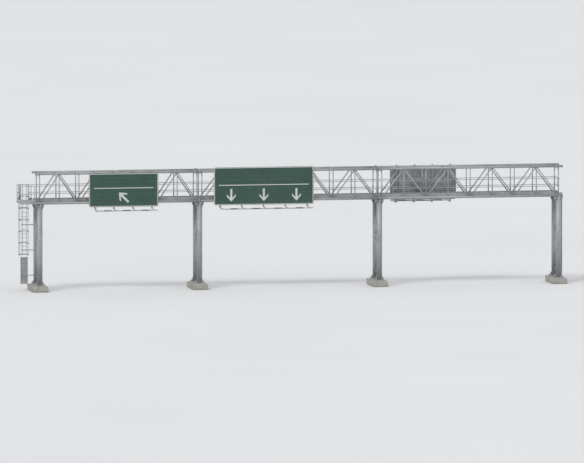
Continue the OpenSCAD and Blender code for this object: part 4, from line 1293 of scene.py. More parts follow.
Y_V = Y_C - V_FLAT
Y_R = Y_V - 0.012 - RAIL_FLAT
UB = u_bolt(R_V, 0.010, V_FLAT + 0.020)
for b in range(3):
    p = Piece(f"bay_{b + 1}_guard_rails_tubes", GALV, GALV_PLATE, WELD, ZINC)
    a = CH_A[b] + 0.010
    e = LEG[3] + 0.030 if b == 2 else CH_B[b] - 0.010
    for s in (-1, 1):
        for h in (0.55, 1.1):
            z = Z_TREAD + h
            p.put(turned((a, s * Y_R, z), X, [(0, 0.017), (0.003, R_RAIL), (e - a - 0.003, R_RAIL), (e - a, 0.017)], 20))
            if b < 2:
                p.put(tube((e - 0.03, s * Y_R, z), (e + 0.05, s * Y_R, z), 0.0170, 16), 1)
            # a sleeved joint part way along each bay
            xm = px(b, 4) + 0.35
            p.put(turned((xm - 0.045, s * Y_R, z), X, [(0, R_RAIL + 0.001), (0.002, R_RAIL + 0.0035), (0.088, R_RAIL + 0.0035), (0.090, R_RAIL + 0.001)], 20))
            for dx in (-0.028, 0.028):
                p.put(HEAD8, 3, place((xm + dx, s * (Y_R - R_RAIL - 0.0025), z), (0, -s, 0)))
        for k in range(NP + 1):
            x = px(b, k)
            # flat upright with its two rail stubs
            p.put(cbox((x - 0.020, s * (Y_V - 0.0085), Z_TREAD + 0.490), (x + 0.020, s * (Y_V + 0.0005), Z_TREAD + 1.140), 0.0015), 1)
            for h in (0.55, 1.1):
                p.put(cbox((x - 0.014, s * (Y_R + 0.006), Z_TREAD + h - 0.012), (x + 0.014, s * (Y_V - 0.007), Z_TREAD + h + 0.012), 0.001), 1)
                for dx in (-1, 1):
                    p.put(extrude_tri((x + dx * 0.014, s * (Y_V - 0.0085), Z_TREAD + h - 0.012), (x + dx * 0.014, s * (Y_V - 0.0085), Z_TREAD + h + 0.012), X * dx, -Y * s, 0.005), 2)
            for dz in (0.66, 0.98):
                M = place((x, s * Y_C, Z_TREAD + dz), Z, (0, -s, 0))
                p.put(UB, 3, M)
                # yoke plate and nuts
                p.put(cbox((x - 0.058, s * (Y_V - 0.014), Z_TREAD + dz - 0.014), (x + 0.058, s * (Y_V - 0.008), Z_TREAD + dz + 0.014), 0.001), 1)
                for dx in (-1, 1):
                    p.put(bolt_nut(0.010, 0.15), 3, place((x + dx * (R_V + 0.005), s * (Y_V - 0.014), Z_TREAD + dz), (0, -s, 0)))
    if b == 2:
        xr = LEG[3] + V_FLAT + 0.012 + RAIL_FLAT
        for h in (0.55, 1.1):
            z = Z_TREAD + h
            p.put(turned((xr, -0.780, z), Y, [(0, 0.017), (0.003, R_RAIL), (1.557, R_RAIL), (1.560, 0.017)], 20))
            for s in (-1, 1):
                p.put(cbox((LEG[3] + V_FLAT + 0.007, s * Y_C - 0.014, z - 0.012), (xr - 0.006, s * Y_C + 0.014, z + 0.012), 0.001), 1)
        p.put(tube((xr, 0, Z_TREAD + 0.55), (xr, 0, Z_TREAD + 1.1), 0.01685, 16))
        for z, g in ((Z_TREAD + 0.55, 1), (Z_TREAD + 1.1, -1)):
            p.put(saddle_weld((xr, 0, z), Z * g, 0.01685, (xr, 0, z), Y, R_RAIL, 0.004, 20), 2)
        for s in (-1, 1):
            p.put(cbox((LEG[3] + V_FLAT - 0.0005, s * Y_C - 0.020, Z_TREAD + 0.490), (LEG[3] + V_FLAT + 0.0085, s * Y_C + 0.020, Z_TREAD + 1.140), 0.0015), 1)
    p.make(f"bay_{b + 1}_guard_rails", slot=STEEL_SLOT)

# =====================================================================
# Landing at the ladder end
# =====================================================================
p = Piece("landing_steel", GALV_PLATE, GRATE, WELD, ZINC)
for s in (-1, 1):
    y = s * Y_C
    p.put(extrude(rrect(0.080, 0.100, 0.010), (LX0 + 0.004, y, Z_B), (LX1 - 0.008, y, Z_B)))
    p.put(cbox((LX0, y - 0.040, Z_B - 0.050), (LX0 + 0.005, y + 0.040, Z_B + 0.050), 0.0015))
    # end plates bolted to the chord
    p.put(cbox((LX1 - 0.012, y - 0.095, Z_B - 0.095), (LX1, y + 0.095, Z_B + 0.095), 0.002))
    for a in (-1, 1):
        for c in (-1, 1):
            p.put(HEAD16, 3, place((LX1 - 0.012, y + a * 0.072, Z_B + c * 0.072), -X))
    # haunch under the beam
    p.put(plate([(0, -0.05), (-0.16, -0.05), (0, -0.13)], (LX1 - 0.012, y - 0.005, Z_B), X, Z, Y, 0.010, 0.001))
for x in (LX0, LAD_X - 0.025, LX1 - 0.0506):
    z0, z1 = Z_B + 0.049, Z_WALK
    C = [(0, 0), (0.05, 0), (0.05, 0.005), (0.005, 0.005), (0.005, z1 - z0 - 0.005), (0.05, z1 - z0 - 0.005), (0.05, z1 - z0), (0, z1 - z0)]
    if x == LX0:
        C = [(0.05 - q[0], q[1]) for q in C]
    P = [(-q[0], q[1]) for q in C]
    p.put(extrude(P, (x, -LY, z0), (x, LY, z0)))
    for s in (-1, 1):
        for c in ((1,) if x == LX0 else (-1,) if x > LAD_X else (-1, 1)):
            p.put(extrude_tri((x + 0.025 + c * 0.025, s * Y_C - 0.038, z0 + 0.001), (x + 0.025 + c * 0.025, s * Y_C + 0.038, z0 + 0.001), X * c, Z, 0.005), 2)
ys = np.linspace(-LY + 0.0085, LY - 0.0085, 3)
for i in range(2):
    grating_x = (LX0 + 0.009, LX1 - 0.002)
    q = Piece("tmp", GRATE)
    grating(q, grating_x[0], grating_x[1], ys[i] + 0.002, ys[i + 1] - 0.002, Z_WALK, 0.030, along="x")
    base = p.n
    for V in q.V:
        p.V.append(V)
        p.n += len(V)
    for F, sm, m in q.G:
        p.G.append((F + base, sm, 1))
    for x in (LX0 + 0.10, LX1 - 0.10):
        for y in (ys[i] + 0.10, ys[i + 1] - 0.10):
            p.put(CLIP, 3, place((x, y, Z_TREAD - 0.002), Z, X))


def kick(p, a, b):
    """Kick plate: 5 mm sheet with a folded top edge, within the outline between two corners."""
    lo, hi = np.minimum(a, b), np.maximum(a, b)
    thin = 0 if hi[0] - lo[0] < 0.05 else 1
    l2, h2 = lo.astype(float).copy(), hi.astype(float).copy()
    l2[thin] += 0.0015
    h2[thin] -= 0.0015
    l2[1 - thin] += 0.0003
    h2[1 - thin] -= 0.0003
    p.put(cbox((*l2, Z_WALK - 0.03), (*h2, Z_TREAD + 0.145), 0.001))
    p.put(cbox((*lo, Z_TREAD + 0.138), (*hi, Z_TREAD + 0.150), 0.002))


kick(p, (LX0, -LY), (LX0 + 0.008, LY))
kick(p, (LX0 + 0.0084, -LY), (LX1, -LY + 0.008))
kick(p, (LX0 + 0.0084, LY - 0.008), (LAD_X - 0.300, LY))
kick(p, (LAD_X + 0.300, LY - 0.008), (LX1, LY))
p.make("landing", slot="walkway_grating")

p = Piece("landing_guard_rail_tubes", GALV, GALV_PLATE, WELD, ZINC)
gx0, gx1, gy0 = LX0 + 0.008 + 0.02415 * C8, LX1 - 0.060, LY - 0.008 - 0.02415 * C8
ends = [(gx0, -gy0), (gx1, -gy0), (gx0, 0.0), (gx0, gy0), (LAD_X - 0.330, gy0), (LAD_X + 0.330, gy0), (gx1, gy0)]
for x, y in ends:
    p.put(turned((x, y, Z_TREAD - 0.001), Z, [(0, 0.02415), (1.1 + 0.003, 0.02415), (1.1 + 0.005, 0.021)], 20))
    # foot plate on the grating and collar at each rail
    p.put(cbox((x - 0.015 if x < LX0 + 0.1 else x - 0.05, y - 0.05 if abs(y) < 0.1 else (y - 0.02 if y < 0 else y - 0.06), Z_TREAD),
               (x + 0.06 if x < LX0 + 0.1 else x + 0.05, y + 0.05 if abs(y) < 0.1 else (y + 0.06 if y < 0 else y + 0.02), Z_TREAD + 0.006), 0.0015), 1)
    p.put(ring_weld((x, y, Z_TREAD + 0.007), Z, 0.0245, 0.004, 20), 2)
for h in (0.55, 1.1):
    z = Z_TREAD + h
    runs = [((gx1, -gy0), (gx0, -gy0)), ((gx0, -gy0), (gx0, gy0)), ((gx0, gy0), (LAD_X - 0.330, gy0)), ((LAD_X + 0.330, gy0), (gx1, gy0))]
    for a, c in runs:
        p.put(tube((*a, z), (*c, z), R_RAIL, 20))
    for x, y in ends:
        zz = z if h < 1 else z - 0.012
        p.put(turned((x, y, zz - 0.028), Z, [(0, 0.0255), (0.003, 0.0290), (0.037 if h > 1 else 0.053, 0.0290), (0.040 if h > 1 else 0.056, 0.0255)], 20), 1)
    for a, c in runs:
        for q, r in ((a, c), (c, a)):
            g = (np.array(r) - np.array(q)) / np.linalg.norm(np.array(r) - np.array(q))
            g = np.array([g[0], g[1], 0])
            p.put(turned(np.array([*q, z]) + g * 0.024, g, [(0, 0.0285), (0.030, 0.0262), (0.033, 0.0230)], 20), 1)
            p.put(HEAD8, 3, place(np.array([*q, z]) + g * 0.042 + Z * 0.0225, Z))
p.make("landing_guard_rail", slot=STEEL_SLOT)

# =====================================================================
# Ladder and cage
# =====================================================================
p = Piece("ladder_stiles_flats", GALV, GALV_PLATE, ZINC)
for s in (-1, 1):
    x = LAD_X + s * (STILE - 0.006)
    prof = [(-0.006, -0.029), (-0.003, -0.032), (0.003, -0.032), (0.006, -0.029), (0.006, 0.029), (0.003, 0.032), (-0.003, 0.032), (-0.006, 0.029)]
    p.put(extrude(prof, (x, LAD_Y, 0.300), (x, LAD_Y, Z_RAIL), up=(0, 1, 0)))
    p.put(cbox((x - 0.0054, LY + 0.0012, Z_WALK - 0.050), (x + 0.0054, LAD_Y - 0.02, Z_TREAD), 0.0015), 1)
    p.put(cbox((x + s * 0.006 - (0.008 if s < 0 else 0), LY + 0.0006, Z_WALK - 0.045), (x + s * 0.006 + (0.008 if s > 0 else 0), LY + 0.045, Z_TREAD - 0.005), 0.001), 1)
    p.put(cbox((x - (0.045 if s < 0 else 0.0), LY, Z_WALK - 0.045), (x + (0.045 if s > 0 else 0.0), LY + 0.006, Z_TREAD - 0.005), 0.001), 1)
    for z in (3.95,):
        # bolted splice of the two ladder lengths
        p.put(cbox((x - s * 0.006 - (0.006 if s > 0 else 0), LAD_Y - 0.022, z - 0.10), (x - s * 0.006 + (0.006 if s < 0 else 0), LAD_Y + 0.022, z + 0.10), 0.001), 1)
        for dz in (-0.07, -0.03, 0.03, 0.07):
            p.put(HEAD12, 2, place((x + s * 0.006, LAD_Y, z + dz), (s, 0, 0)))
p.make("ladder_stiles", slot=STEEL_SLOT)
p = Piece("ladder_rungs_bars", GALV, WELD)
zz = 0.430
while zz < Z_TREAD + 0.001:
    e = STILE - 0.012
    n = 9
    prof = [(0.0, 0.0125)]
    for j in range(n):
        c = 0.05 + (2 * e - 0.10) * j / (n - 1)
        prof += [(c - 0.006, 0.0125), (c - 0.003, 0.0133), (c + 0.003, 0.0133), (c + 0.006, 0.0125)]
    prof += [(2 * e, 0.0125)]
    p.put(turned((LAD_X - e, LAD_Y, zz), X, prof, 16, smooth=True))
    for s in (-1, 1):
        p.put(ring_weld((LAD_X + s * (e - 0.002), LAD_Y, zz), X, 0.0135, 0.0035, 16), 1)
        p.put(turned((LAD_X + s * (STILE - 0.001), LAD_Y, zz), X * s, [(0, 0.0125), (0.0022, 0.0105)], 16), 1)
    zz += 0.3
p.make("ladder_rungs", slot=STEEL_SLOT)
p = Piece("ladder_brackets_tubes", GALV, GALV_PLATE, WELD, ZINC)
for z in (1.060, 2.860, 4.660):
    y = LAD_Y - 0.062
    p.put(extrude(rrect(0.060, 0.060, 0.008), (LAD_X - STILE + 0.003, y, z), (LEG[0] - 0.175, y, z)))
    p.put(cbox((LAD_X - STILE, y - 0.030, z - 0.030), (LAD_X - STILE + 0.004, y + 0.030, z + 0.030), 0.001), 1)
    # shaped end plate round the post
    arc = [(R_POST + 0.001) * np.array([math.cos(math.radians(t)), math.sin(math.radians(t))]) for t in range(150, 211, 5)]
    arc2 = [(R_POST + 0.011) * np.array([math.cos(math.radians(t)), math.sin(math.radians(t))]) for t in range(210, 149, -5)]
    t0 = math.degrees(math.asin((y - Y_C) / R_POST))
    ca, sa = math.cos(math.radians(-t0)), math.sin(math.radians(-t0))
    ring2 = np.array(arc + arc2)
    ring2 = np.column_stack([ring2[:, 0] * ca - ring2[:, 1] * sa, ring2[:, 0] * sa + ring2[:, 1] * ca])
    p.put(plate(ring2, (LEG[0], Y_C, z - 0.055), X, Y, Z, 0.110), 1)
    for s in (-1, 1):
        x = LAD_X + s * (STILE - 0.006)
        p.put(cbox((x - 0.004 - s * 0.010, LAD_Y - 0.034, z - 0.05), (x + 0.004 - s * 0.010, LAD_Y + 0.010, z + 0.05), 0.001), 1)
        for dz in (-0.035, 0.035):
            p.put(HEAD12, 3, place((x + s * 0.006, LAD_Y - 0.012, z + dz), (s, 0, 0)))
p.make("ladder_brackets", slot=STEEL_SLOT)

HZ = [2.5 + (Z_RAIL - 0.06 - 2.5) * k / 6 for k in range(7)]
p = Piece("ladder_cage_hoops_flats", GALV, ZINC)
hoop = []
i0 = STILE - 0.012
hoop.append((i0, CAGE_Y + 0.004, 0))
hoop += [tuple(q) for q in rounded([(i0 + 0.02, CAGE_Y + 0.004, 0), (HOOP_R - 0.004, CAGE_Y + 0.004, 0), (HOOP_R - 0.004, CAGE_C, 0)], 0.022, 5)[0:]]
hoop += [((HOOP_R - 0.004) * math.cos(math.radians(t)), CAGE_C + (HOOP_R - 0.004) * math.sin(math.radians(t)), 0) for t in range(6, 90, 6)]
hoop.append((0, CAGE_C + HOOP_R - 0.004, 0))
full = hoop + [(-x, y, z) for x, y, z in hoop[-2::-1]]
H = strip(full, 0.05, 0.008, (0, 0, 1))
CUP = merge(turned((0, 0, 0), Z, [(0, 0.0125), (0.003, 0.0118), (0.0058, 0.0075), (0.0068, 0.002)], 12))
spots = []
for a in (0, 45, 90, 135, 180):
    t = math.radians(a)
    spots.append((np.array([HOOP_R * math.cos(t), CAGE_C + HOOP_R * math.sin(t), 0]), np.array([math.cos(t), math.sin(t), 0])))
for s in (-1, 1):
    spots.append((np.array([s * HOOP_R, CAGE_Y + 0.140, 0]), np.array([s, 0, 0])))
for z in HZ:
    p.put(H, 0, place((LAD_X, 0, z), Z, X))
    for q, n_ in spots:
        p.put(CUP, 1, place(q + (LAD_X, 0, z), n_))
    for s in (-1, 1):
        for dz in (-0.014, 0.014):
            p.put(bolt_head(0.009), 1, place((LAD_X + s * (STILE + 0.012), CAGE_Y + 0.008, z + dz), Y))
p.make("ladder_cage_hoops", slot=STEEL_SLOT)
p = Piece("ladder_cage_straps_flats", GALV, ZINC)
r = HOOP_R - 0.008
for a in (0, 45, 90, 135, 180):
    t = math.radians(a)
    n_ = np.array([math.cos(t), math.sin(t), 0])
    w_ = np.array([-math.sin(t), math.cos(t), 0])
    P = [(-0.020, HZ[0] - 0.025), (0.020, HZ[0] - 0.025), (0.020, HZ[-1] + 0.025), (-0.020, HZ[-1] + 0.025)]
    o = np.array([LAD_X, CAGE_C, 0]) + n_ * (r - 0.0085)
    p.put(plate(P, o, w_, Z, n_, 0.008, 0.001))
    for z in HZ:
        p.put(bolt_nut(0.010, 0.25), 1, place(np.array([LAD_X, CAGE_C, z]) + n_ * (r - 0.0085), -n_))
for s in (-1, 1):
    P = [(-0.020, HZ[0] - 0.025), (0.020, HZ[0] - 0.025), (0.020, HZ[-1] + 0.025), (-0.020, HZ[-1] + 0.025)]
    p.put(plate(P, (LAD_X + s * (r - 0.008), CAGE_Y + 0.140, 0), Y, Z, X * s, 0.008, 0.001))
    for z in HZ:
        p.put(bolt_nut(0.010, 0.25), 1, place((LAD_X + s * (r - 0.008), CAGE_Y + 0.140, z), (-s, 0, 0)))
p.make("ladder_cage_straps", slot=STEEL_SLOT)

# guard plate: a shallow cross-folded sheet in a flat frame
p = Piece("ladder_guard_plate_sheet", GALV_PLATE, ZINC)
w, z0, z1 = STILE + 0.030, 0.450, 2.350
y0 = LAD_Y + 0.032
p.put(cbox((LAD_X - w + 0.0006, y0, z0 + 0.0006), (LAD_X + w - 0.0006, y0 + 0.004, z1 - 0.0006), 0.0012))
for a, c in (((-w, z0), (w, z0 + 0.03)), ((-w, z1 - 0.03), (w, z1)), ((-w, z0 + 0.0302), (-w + 0.03, z1 - 0.0302)), ((w - 0.03, z0 + 0.0302), (w, z1 - 0.0302)), ((-w + 0.0302, 1.385), (w - 0.0302, 1.415))):
    p.put(cbox((LAD_X + a[0], y0 + 0.003, a[1]), (LAD_X + c[0], y0 + 0.008, c[1]), 0.0012))
for za, zb in ((z0 + 0.03, 1.385), (1.415, z1 - 0.03)):
    zc = (za + zb) / 2
    V = [(LAD_X - w + 0.03, y0 + 0.0038, za), (LAD_X + w - 0.03, y0 + 0.0038, za), (LAD_X + w - 0.03, y0 + 0.0038, zb), (LAD_X - w + 0.03, y0 + 0.0038, zb), (LAD_X, y0 + 0.0072, zc)]
    p.put(solid(V, [([(0, 1, 4), (1, 2, 4), (2, 3, 4), (3, 0, 4)], False), ([(3, 2, 1, 0)], False)]))
for s in (-1, 1):
    for z in np.linspace(z0 + 0.08, z1 - 0.08, 6):
        p.put(CUP, 1, place((LAD_X + s * (STILE - 0.006), y0 + 0.0078, z), Y))
# hasp, staple and padlock at the edge by the post
hx_, hz_ = LAD_X + w - 0.045, 1.400
p.put(plate(rrect(0.110, 0.036, 0.006, 3), (hx_ + 0.010, y0 + 0.0078, hz_), X, Z, Y, 0.0032, 0.0006), 1)
for dx in (-0.032, -0.012):
    p.put(turned((hx_ + dx, y0 + 0.0108, hz_), Y, [(0, 0.0052), (0.0018, 0.0046), (0.0026, 0.0022)], 10), 1)
p.put(sweep([(hx_ + 0.042, y0 + 0.009, hz_ - 0.009)] + [(hx_ + 0.042, y0 + 0.020 + 0.009 * math.sin(math.radians(t)), hz_ - 0.009 * math.cos(math.radians(t))) for t in range(0, 181, 20)] + [(hx_ + 0.042, y0 + 0.009, hz_ + 0.009)], 0.0032, 8), 1)
p.put(sweep(rounded([(hx_ + 0.028, y0 + 0.0215, hz_ - 0.040), (hx_ + 0.028, y0 + 0.0215, hz_ + 0.003), (hx_ + 0.056, y0 + 0.0215, hz_ + 0.003), (hx_ + 0.056, y0 + 0.0215, hz_ - 0.040)], 0.0135, 6), 0.0034, 10), 1)
p.put(plate(rrect(0.044, 0.038, 0.006, 4), (hx_ + 0.042, y0 + 0.0125, hz_ - 0.050), X, Z, Y, 0.0180, 0.0025), 0)
for dz in (-0.062, -0.054, -0.046):
    p.put(plate(rrect(0.0446, 0.0026, 0.0012, 2), (hx_ + 0.042, y0 + 0.0122, hz_ + dz), X, Z, Y, 0.0186, 0.0004), 1)
p.make("ladder_guard_plate", slot=STEEL_SLOT)

# =====================================================================
# Signs
# =====================================================================


def plank_outline(w, za, zb, h, r, n=10):
    """Outline of one plank of the panel, in (x, z) from the panel's bottom centre."""
    hw = w / 2
    P = []
    if za < r:
        for i in range(n + 1):
            t = math.radians(270 + 90 * i / n)
            P.append((hw - r + r * math.cos(t), r + r * math.sin(t)))
    else:
        P.append((hw, za))
    if zb > h - r:
        for i in range(n + 1):
            t = math.radians(90 * i / n)
            P.append((hw - r + r * math.cos(t), h - r + r * math.sin(t)))
    else:
        P.append((hw, zb))
    L = [(-x, z) for x, z in P[::-1]]
    return np.array(P + L)


def frame_band(w, h, r, t, n=12):
    """Outline pair of a border band t wide."""
    return rrect(w, h, r, n), rrect(w - 2 * t, h - 2 * t, r - t, n)


def band(outer, inner, o, u, v, wv, t):
    o, u, v, wv = (np.asarray(a, float) for a in (o, u, v, wv))
    S = []
    for a, b in zip(outer, inner):
        pa, pb = o + a[0] * u + a[1] * v, o + b[0] * u + b[1] * v
        S.append([pa, pb, pb + wv * t, pa + wv * t])
    return loft(S, smooth=False, loop=True)


def arrow(h, turn=0.0):
    """Plain barbed arrow of height h, pointing up before it is turned."""
    P = np.array([(0, 1.0), (0.355, 0.585), (0.355, 0.415), (0.082, 0.715), (0.082, 0.0), (-0.082, 0.0), (-0.082, 0.715), (-0.355, 0.415), (-0.355, 0.585)]) * h
    P[:, 1] -= h / 2
    t = math.radians(turn)
    return np.column_stack([P[:, 0] * math.cos(t) - P[:, 1] * math.sin(t), P[:, 0] * math.sin(t) + P[:, 1] * math.cos(t)])


for n in range(3):
    w, h, sd = SIGN_W[n], SIGN_H[n], SIGN_S[n]
    O = np.array([SIGN_X[n], sd * Y_FACE, Z_SIGN])
    OUT = Y * sd
    rails = [0.15 + (h - 0.3) * r_ / 4 for r_ in range(5)]
    N_PL = 8 if h < 2.5 else 9
    ph = h / N_PL
    back_ = Piece(f"sign_{n + 1}_planks", ALU, ZINC)
    face = Piece(f"sign_{n + 1}_sheeting", GREEN, WHITE)
    for i in range(N_PL):
        za, zb = i * ph + (0 if i == 0 else 0.0008), (i + 1) * ph - (0 if i == N_PL - 1 else 0.0008)
        P = plank_outline(w, za, zb, h, R_SIGN)
        back_.put(plate(P, O, X, Z, OUT, 0.0112, 0.0012))
        face.put(plate(inset(P, 0.0006), O + OUT * 0.0110, X, Z, OUT, 0.0015), 0)
        # stiffening ribs of the extrusion, on the back, clear of the rails
        for f in (0.03, 0.5, 0.97):
            z = i * ph + f * ph
            if any(abs(z - q) < 0.045 for q in rails) or z < 0.02 or z > h - 0.02:
                continue
            hw = w / 2 - (R_SIGN + 0.01 if (z < R_SIGN or z > h - R_SIGN) else 0.012)
            back_.put(cbox(O + (-hw, -sd * 0.011, z - 0.0022), O + (hw, sd * 0.0005, z + 0.0022), 0.0008))
            back_.put(cbox(O + (-hw, -sd * 0.012, z - 0.006), O + (hw, -sd * 0.0095, z + 0.006), 0.0008))
    back_.make(f"sign_{n + 1}_panel", slot="sign_face")
    # border and plain arrows
    cz = h / 2
    oc = O + Z * cz + OUT * 0.0124
    a, c = frame_band(w - 0.05, h - 0.05, R_SIGN - 0.025, 0.045)
    face.put(band(a, c, oc, X, Z, OUT, 0.0010), 1)

    def mark(P, x, z):
        face.put(plate(P, oc + X * x + Z * (z - cz), X, Z, OUT, 0.0010), 1)

    def rule(hw, x, z):
        mark(rrect(2 * hw, 0.055, 0.012, 3), x, z)

    if n == 0:
        mark(arrow(0.98, 45), 0.0, 0.68)
        rule(2.15, 0.0, 1.34)
    elif n == 1:
        for x in (-2.35, 0.0, 2.35):
            mark(arrow(0.90, 180), x, 0.70)
        rule(3.25, 0.0, 1.42)
    else:
        for x in (-1.20, 1.20):
            mark(arrow(0.86, 180), x, 0.67)
        rule(2.05, 0.0, 1.34)
    face.make(slot="sign_face")

    # posts, brackets and horizontal rails
    fr = Piece(f"sign_{n + 1}_posts", GALV_PLATE, WELD, ZINC)
    rl = Piece(f"sign_{n + 1}_rails", ALU_RAIL, ZINC)
    z_top = max(Z_T + 0.130, Z_SIGN + h - 0.060)
    for k in range(SIGN_P[n]):
        x = SIGN_X[n] + sp(n, k)
        yc = sd * (Y_POST + 0.060)
        I = [(-0.060, -0.040), (-0.053, -0.040), (-0.053, -0.003), (0.053, -0.003), (0.053, -0.040), (0.060, -0.040),
             (0.060, 0.040), (0.053, 0.040), (0.053, 0.003), (-0.053, 0.003), (-0.053, 0.040), (-0.060, 0.040)]
        fr.put(extrude(I, (x, yc, Z_SIGN - 0.134), (x, yc, z_top - 0.005), up=X))
        for zc in (Z_SIGN - 0.140, z_top - 0.006):
            fr.put(cbox((x - 0.040, yc - 0.060, zc), (x + 0.040, yc + 0.060, zc + 0.006), 0.001))
        for zc in (Z_B, Z_T):
            # clamp plate, shaped webs and two U-bolts round the chord
            yo = sd * (Y_POST - 0.012)
            fr.put(cbox((x - 0.075, yo, zc - 0.125), (x + 0.075, sd * Y_POST, zc + 0.125), 0.002))
            rr = R_CH
            arc = [(Y_C + rr * math.cos(math.radians(t)), rr * math.sin(math.radians(t))) for t in range(-48, 49, 8)]
            W = [(Y_POST - 0.011, -0.105)] + [arc[0]] + arc[1:-1] + [arc[-1]] + [(Y_POST - 0.011, 0.105)]
            for dx in (-0.018, 0.010):
                fr.put(plate([(q[0] * sd, q[1]) for q in W], (x + dx, 0, zc), Y, Z, X, 0.008))
            for dx in (-0.055, 0.055):
                R = R_CH + 0.008
                pts = [(x + dx, sd * (Y_POST + 0.016), zc + R)]
                pts += [(x + dx, sd * (Y_C + R * math.cos(math.radians(t))), zc + R * math.sin(math.radians(t))) for t in range(90, 271, 12)]
                pts += [(x + dx, sd * (Y_POST + 0.016), zc - R)]
                fr.put(sweep(pts, 0.007, 8), 2)
                for g in (-1, 1):
                    fr.put(bolt_nut(0.014, 0.1), 2, place((x + dx, sd * Y_POST, zc + g * R), OUT))
        for r_ in rails:
            z = Z_SIGN + r_
            for e in (-1, 1):
                rl.put(cbox((x + e * 0.036, sd * (Y_POST + 0.104), z - 0.018), (x + e * 0.078, sd * (Y_POST + 0.1205), z + 0.018), 0.0015), 1)
                rl.put(HEAD12, 1, place((x + e * 0.060, sd * (Y_POST + 0.104), z), -OUT))
    for r_ in rails:
        z = Z_SIGN + r_
        C = [(0, -0.030), (0, 0.030), (0.040, 0.030), (0.040, 0.010), (0.037, 0.010), (0.037, 0.027), (0.003, 0.027), (0.003, -0.027), (0.037, -0.027), (0.037, -0.010), (0.040, -0.010), (0.040, -0.030)]
        P = [(sd * q[0], q[1]) for q in C]
        y0 = sd * (Y_FACE - 0.040)
        rl.put(extrude(P, (SIGN_X[n] - w / 2 + 0.06, y0, z), (SIGN_X[n] + w / 2 - 0.06, y0, z)))
        # plank clamps, every 0.6 m
        m_ = int((w - 0.3) / 0.6)
        for j in range(m_ + 1):
            x = SIGN_X[n] - (w - 0.3) / 2 + (w - 0.3) * j / m_
            for e in (-1, 1):
                rl.put(cbox((x - 0.015, sd * (Y_FACE - 0.012), z + e * 0.028), (x + 0.015, sd * (Y_FACE - 0.0005), z + e * 0.052), 0.001), 1)
                rl.put(HEAD8, 1, place((x, sd * (Y_FACE - 0.012), z + e * 0.042), -OUT))
    fr.make(f"sign_{n + 1}_frame", slot="sign_frame_aluminium")
    rl.make(slot="sign_frame_aluminium")

    # lighting
    lt = Piece(f"sign_{n + 1}_lighting_arms", GALV_PLATE, WELD, ZINC, BLACK)
    lm = Piece(f"sign_{n + 1}_lamps", LAMP, LENS, ZINC, BLACK)
    ye = Y_END
    for k in range(SIGN_P[n]):
        x = SIGN_X[n] + sp(n, k)
        zc = Z_ARM - 0.065
        lt.put(extrude(rrect(0.050, 0.050, 0.006), (x, sd * (Y_POST + 0.014), zc), (x, sd * (ye - 0.116), zc)))
        lt.put(cbox((x - 0.025, sd * (Y_POST + 0.010), zc - 0.025), (x + 0.025, sd * (Y_POST + 0.015), zc + 0.025), 0.001))
        # seat under the post, with four bolts
        lt.put(cbox((x - 0.055, sd * (Y_POST - 0.004), Z_ARM - 0.0405), (x + 0.055, sd * (Y_POST + 0.124), Z_ARM - 0.0395), 0.0003))
        for a in (-1, 1):
            for c in (0.022, 0.098):
                lt.put(HEAD12, 2, place((x + a * 0.040, sd * (Y_POST + c), Z_ARM - 0.0405), -Z))
        # strut back from the arm to the post
        lt.put(cbox((x - 0.030, sd * (Y_POST + 0.120), Z_ARM - 0.090), (x - 0.025, sd * (Y_POST + 0.190), Z_ARM + 0.030), 0.001))
        lt.put(cbox((x + 0.025, sd * (Y_POST + 0.120), Z_ARM - 0.090), (x + 0.030, sd * (Y_POST + 0.190), Z_ARM + 0.030), 0.001))
        # clamp straps holding the rail on the arm
        for e in (-1, 1):
            lt.put(cbox((x + e * 0.028 - 0.0, sd * (ye - 0.126), Z_ARM - 0.101), (x + e * 0.068, sd * (ye - 0.054), Z_ARM - 0.0955), 0.001))
    xa, xb = SIGN_X[n] + sp(n, 0) - 0.2, SIGN_X[n] + sp(n, SIGN_P[n] - 1) + 0.2
    zc = Z_ARM - 0.065
    lt.put(extrude(rrect(0.060, 0.060, 0.007), (xa + 0.003, sd * (ye - 0.090), zc), (xb - 0.003, sd * (ye - 0.090), zc)))
    for x, e in ((xa, 1), (xb, -1)):
        lt.put(cbox((x, sd * (ye - 0.120), zc - 0.030), (x + e * 0.004, sd * (ye - 0.060), zc + 0.030), 0.002), 3)
    # supply conduit clipped below the arms, capped past the last lamp
    m1 = -1 if n == 2 else 1
    xp = SIGN_X[n] + sp(n, 0)
    xc, xs_ = xp + m1 * 0.105, xp + m1 * 0.037
    yy, zq = sd * (ye - 0.138), Z_ARM - 0.1005
    x_end = SIGN_X[n] + (sp(n, SIGN_P[n] - 2) + sp(n, SIGN_P[n] - 1)) / 2 + 0.40
    lt.put(tube((xs_ + 0.14, yy, zq), (x_end, yy, zq), 0.0088, 12), 3)
    lt.put(turned((x_end - 0.006, yy, zq), X, [(0, 0.0096), (0.001, 0.0108), (0.014, 0.0108), (0.016, 0.0085)], 12), 3)
    for k in range(1, SIGN_P[n] - 1):
        x = SIGN_X[n] + sp(n, k)
        lt.put(annulus((x - 0.009, yy, zq), X, 0.0088, 0.0108, 0.018, 16), 2)
        lt.put(cbox((x - 0.009, yy - sd * 0.030, Z_ARM - 0.0925), (x + 0.009, yy - sd * 0.008, Z_ARM - 0.0898), 0.0008), 2)
        lt.put(bolt_head(0.005), 2, place((x, yy - sd * 0.022, Z_ARM - 0.0925), -Z))
    for k in range(SIGN_P[n] - 1):
        x = SIGN_X[n] + (sp(n, k) + sp(n, k + 1)) / 2
        z1 = Z_ARM
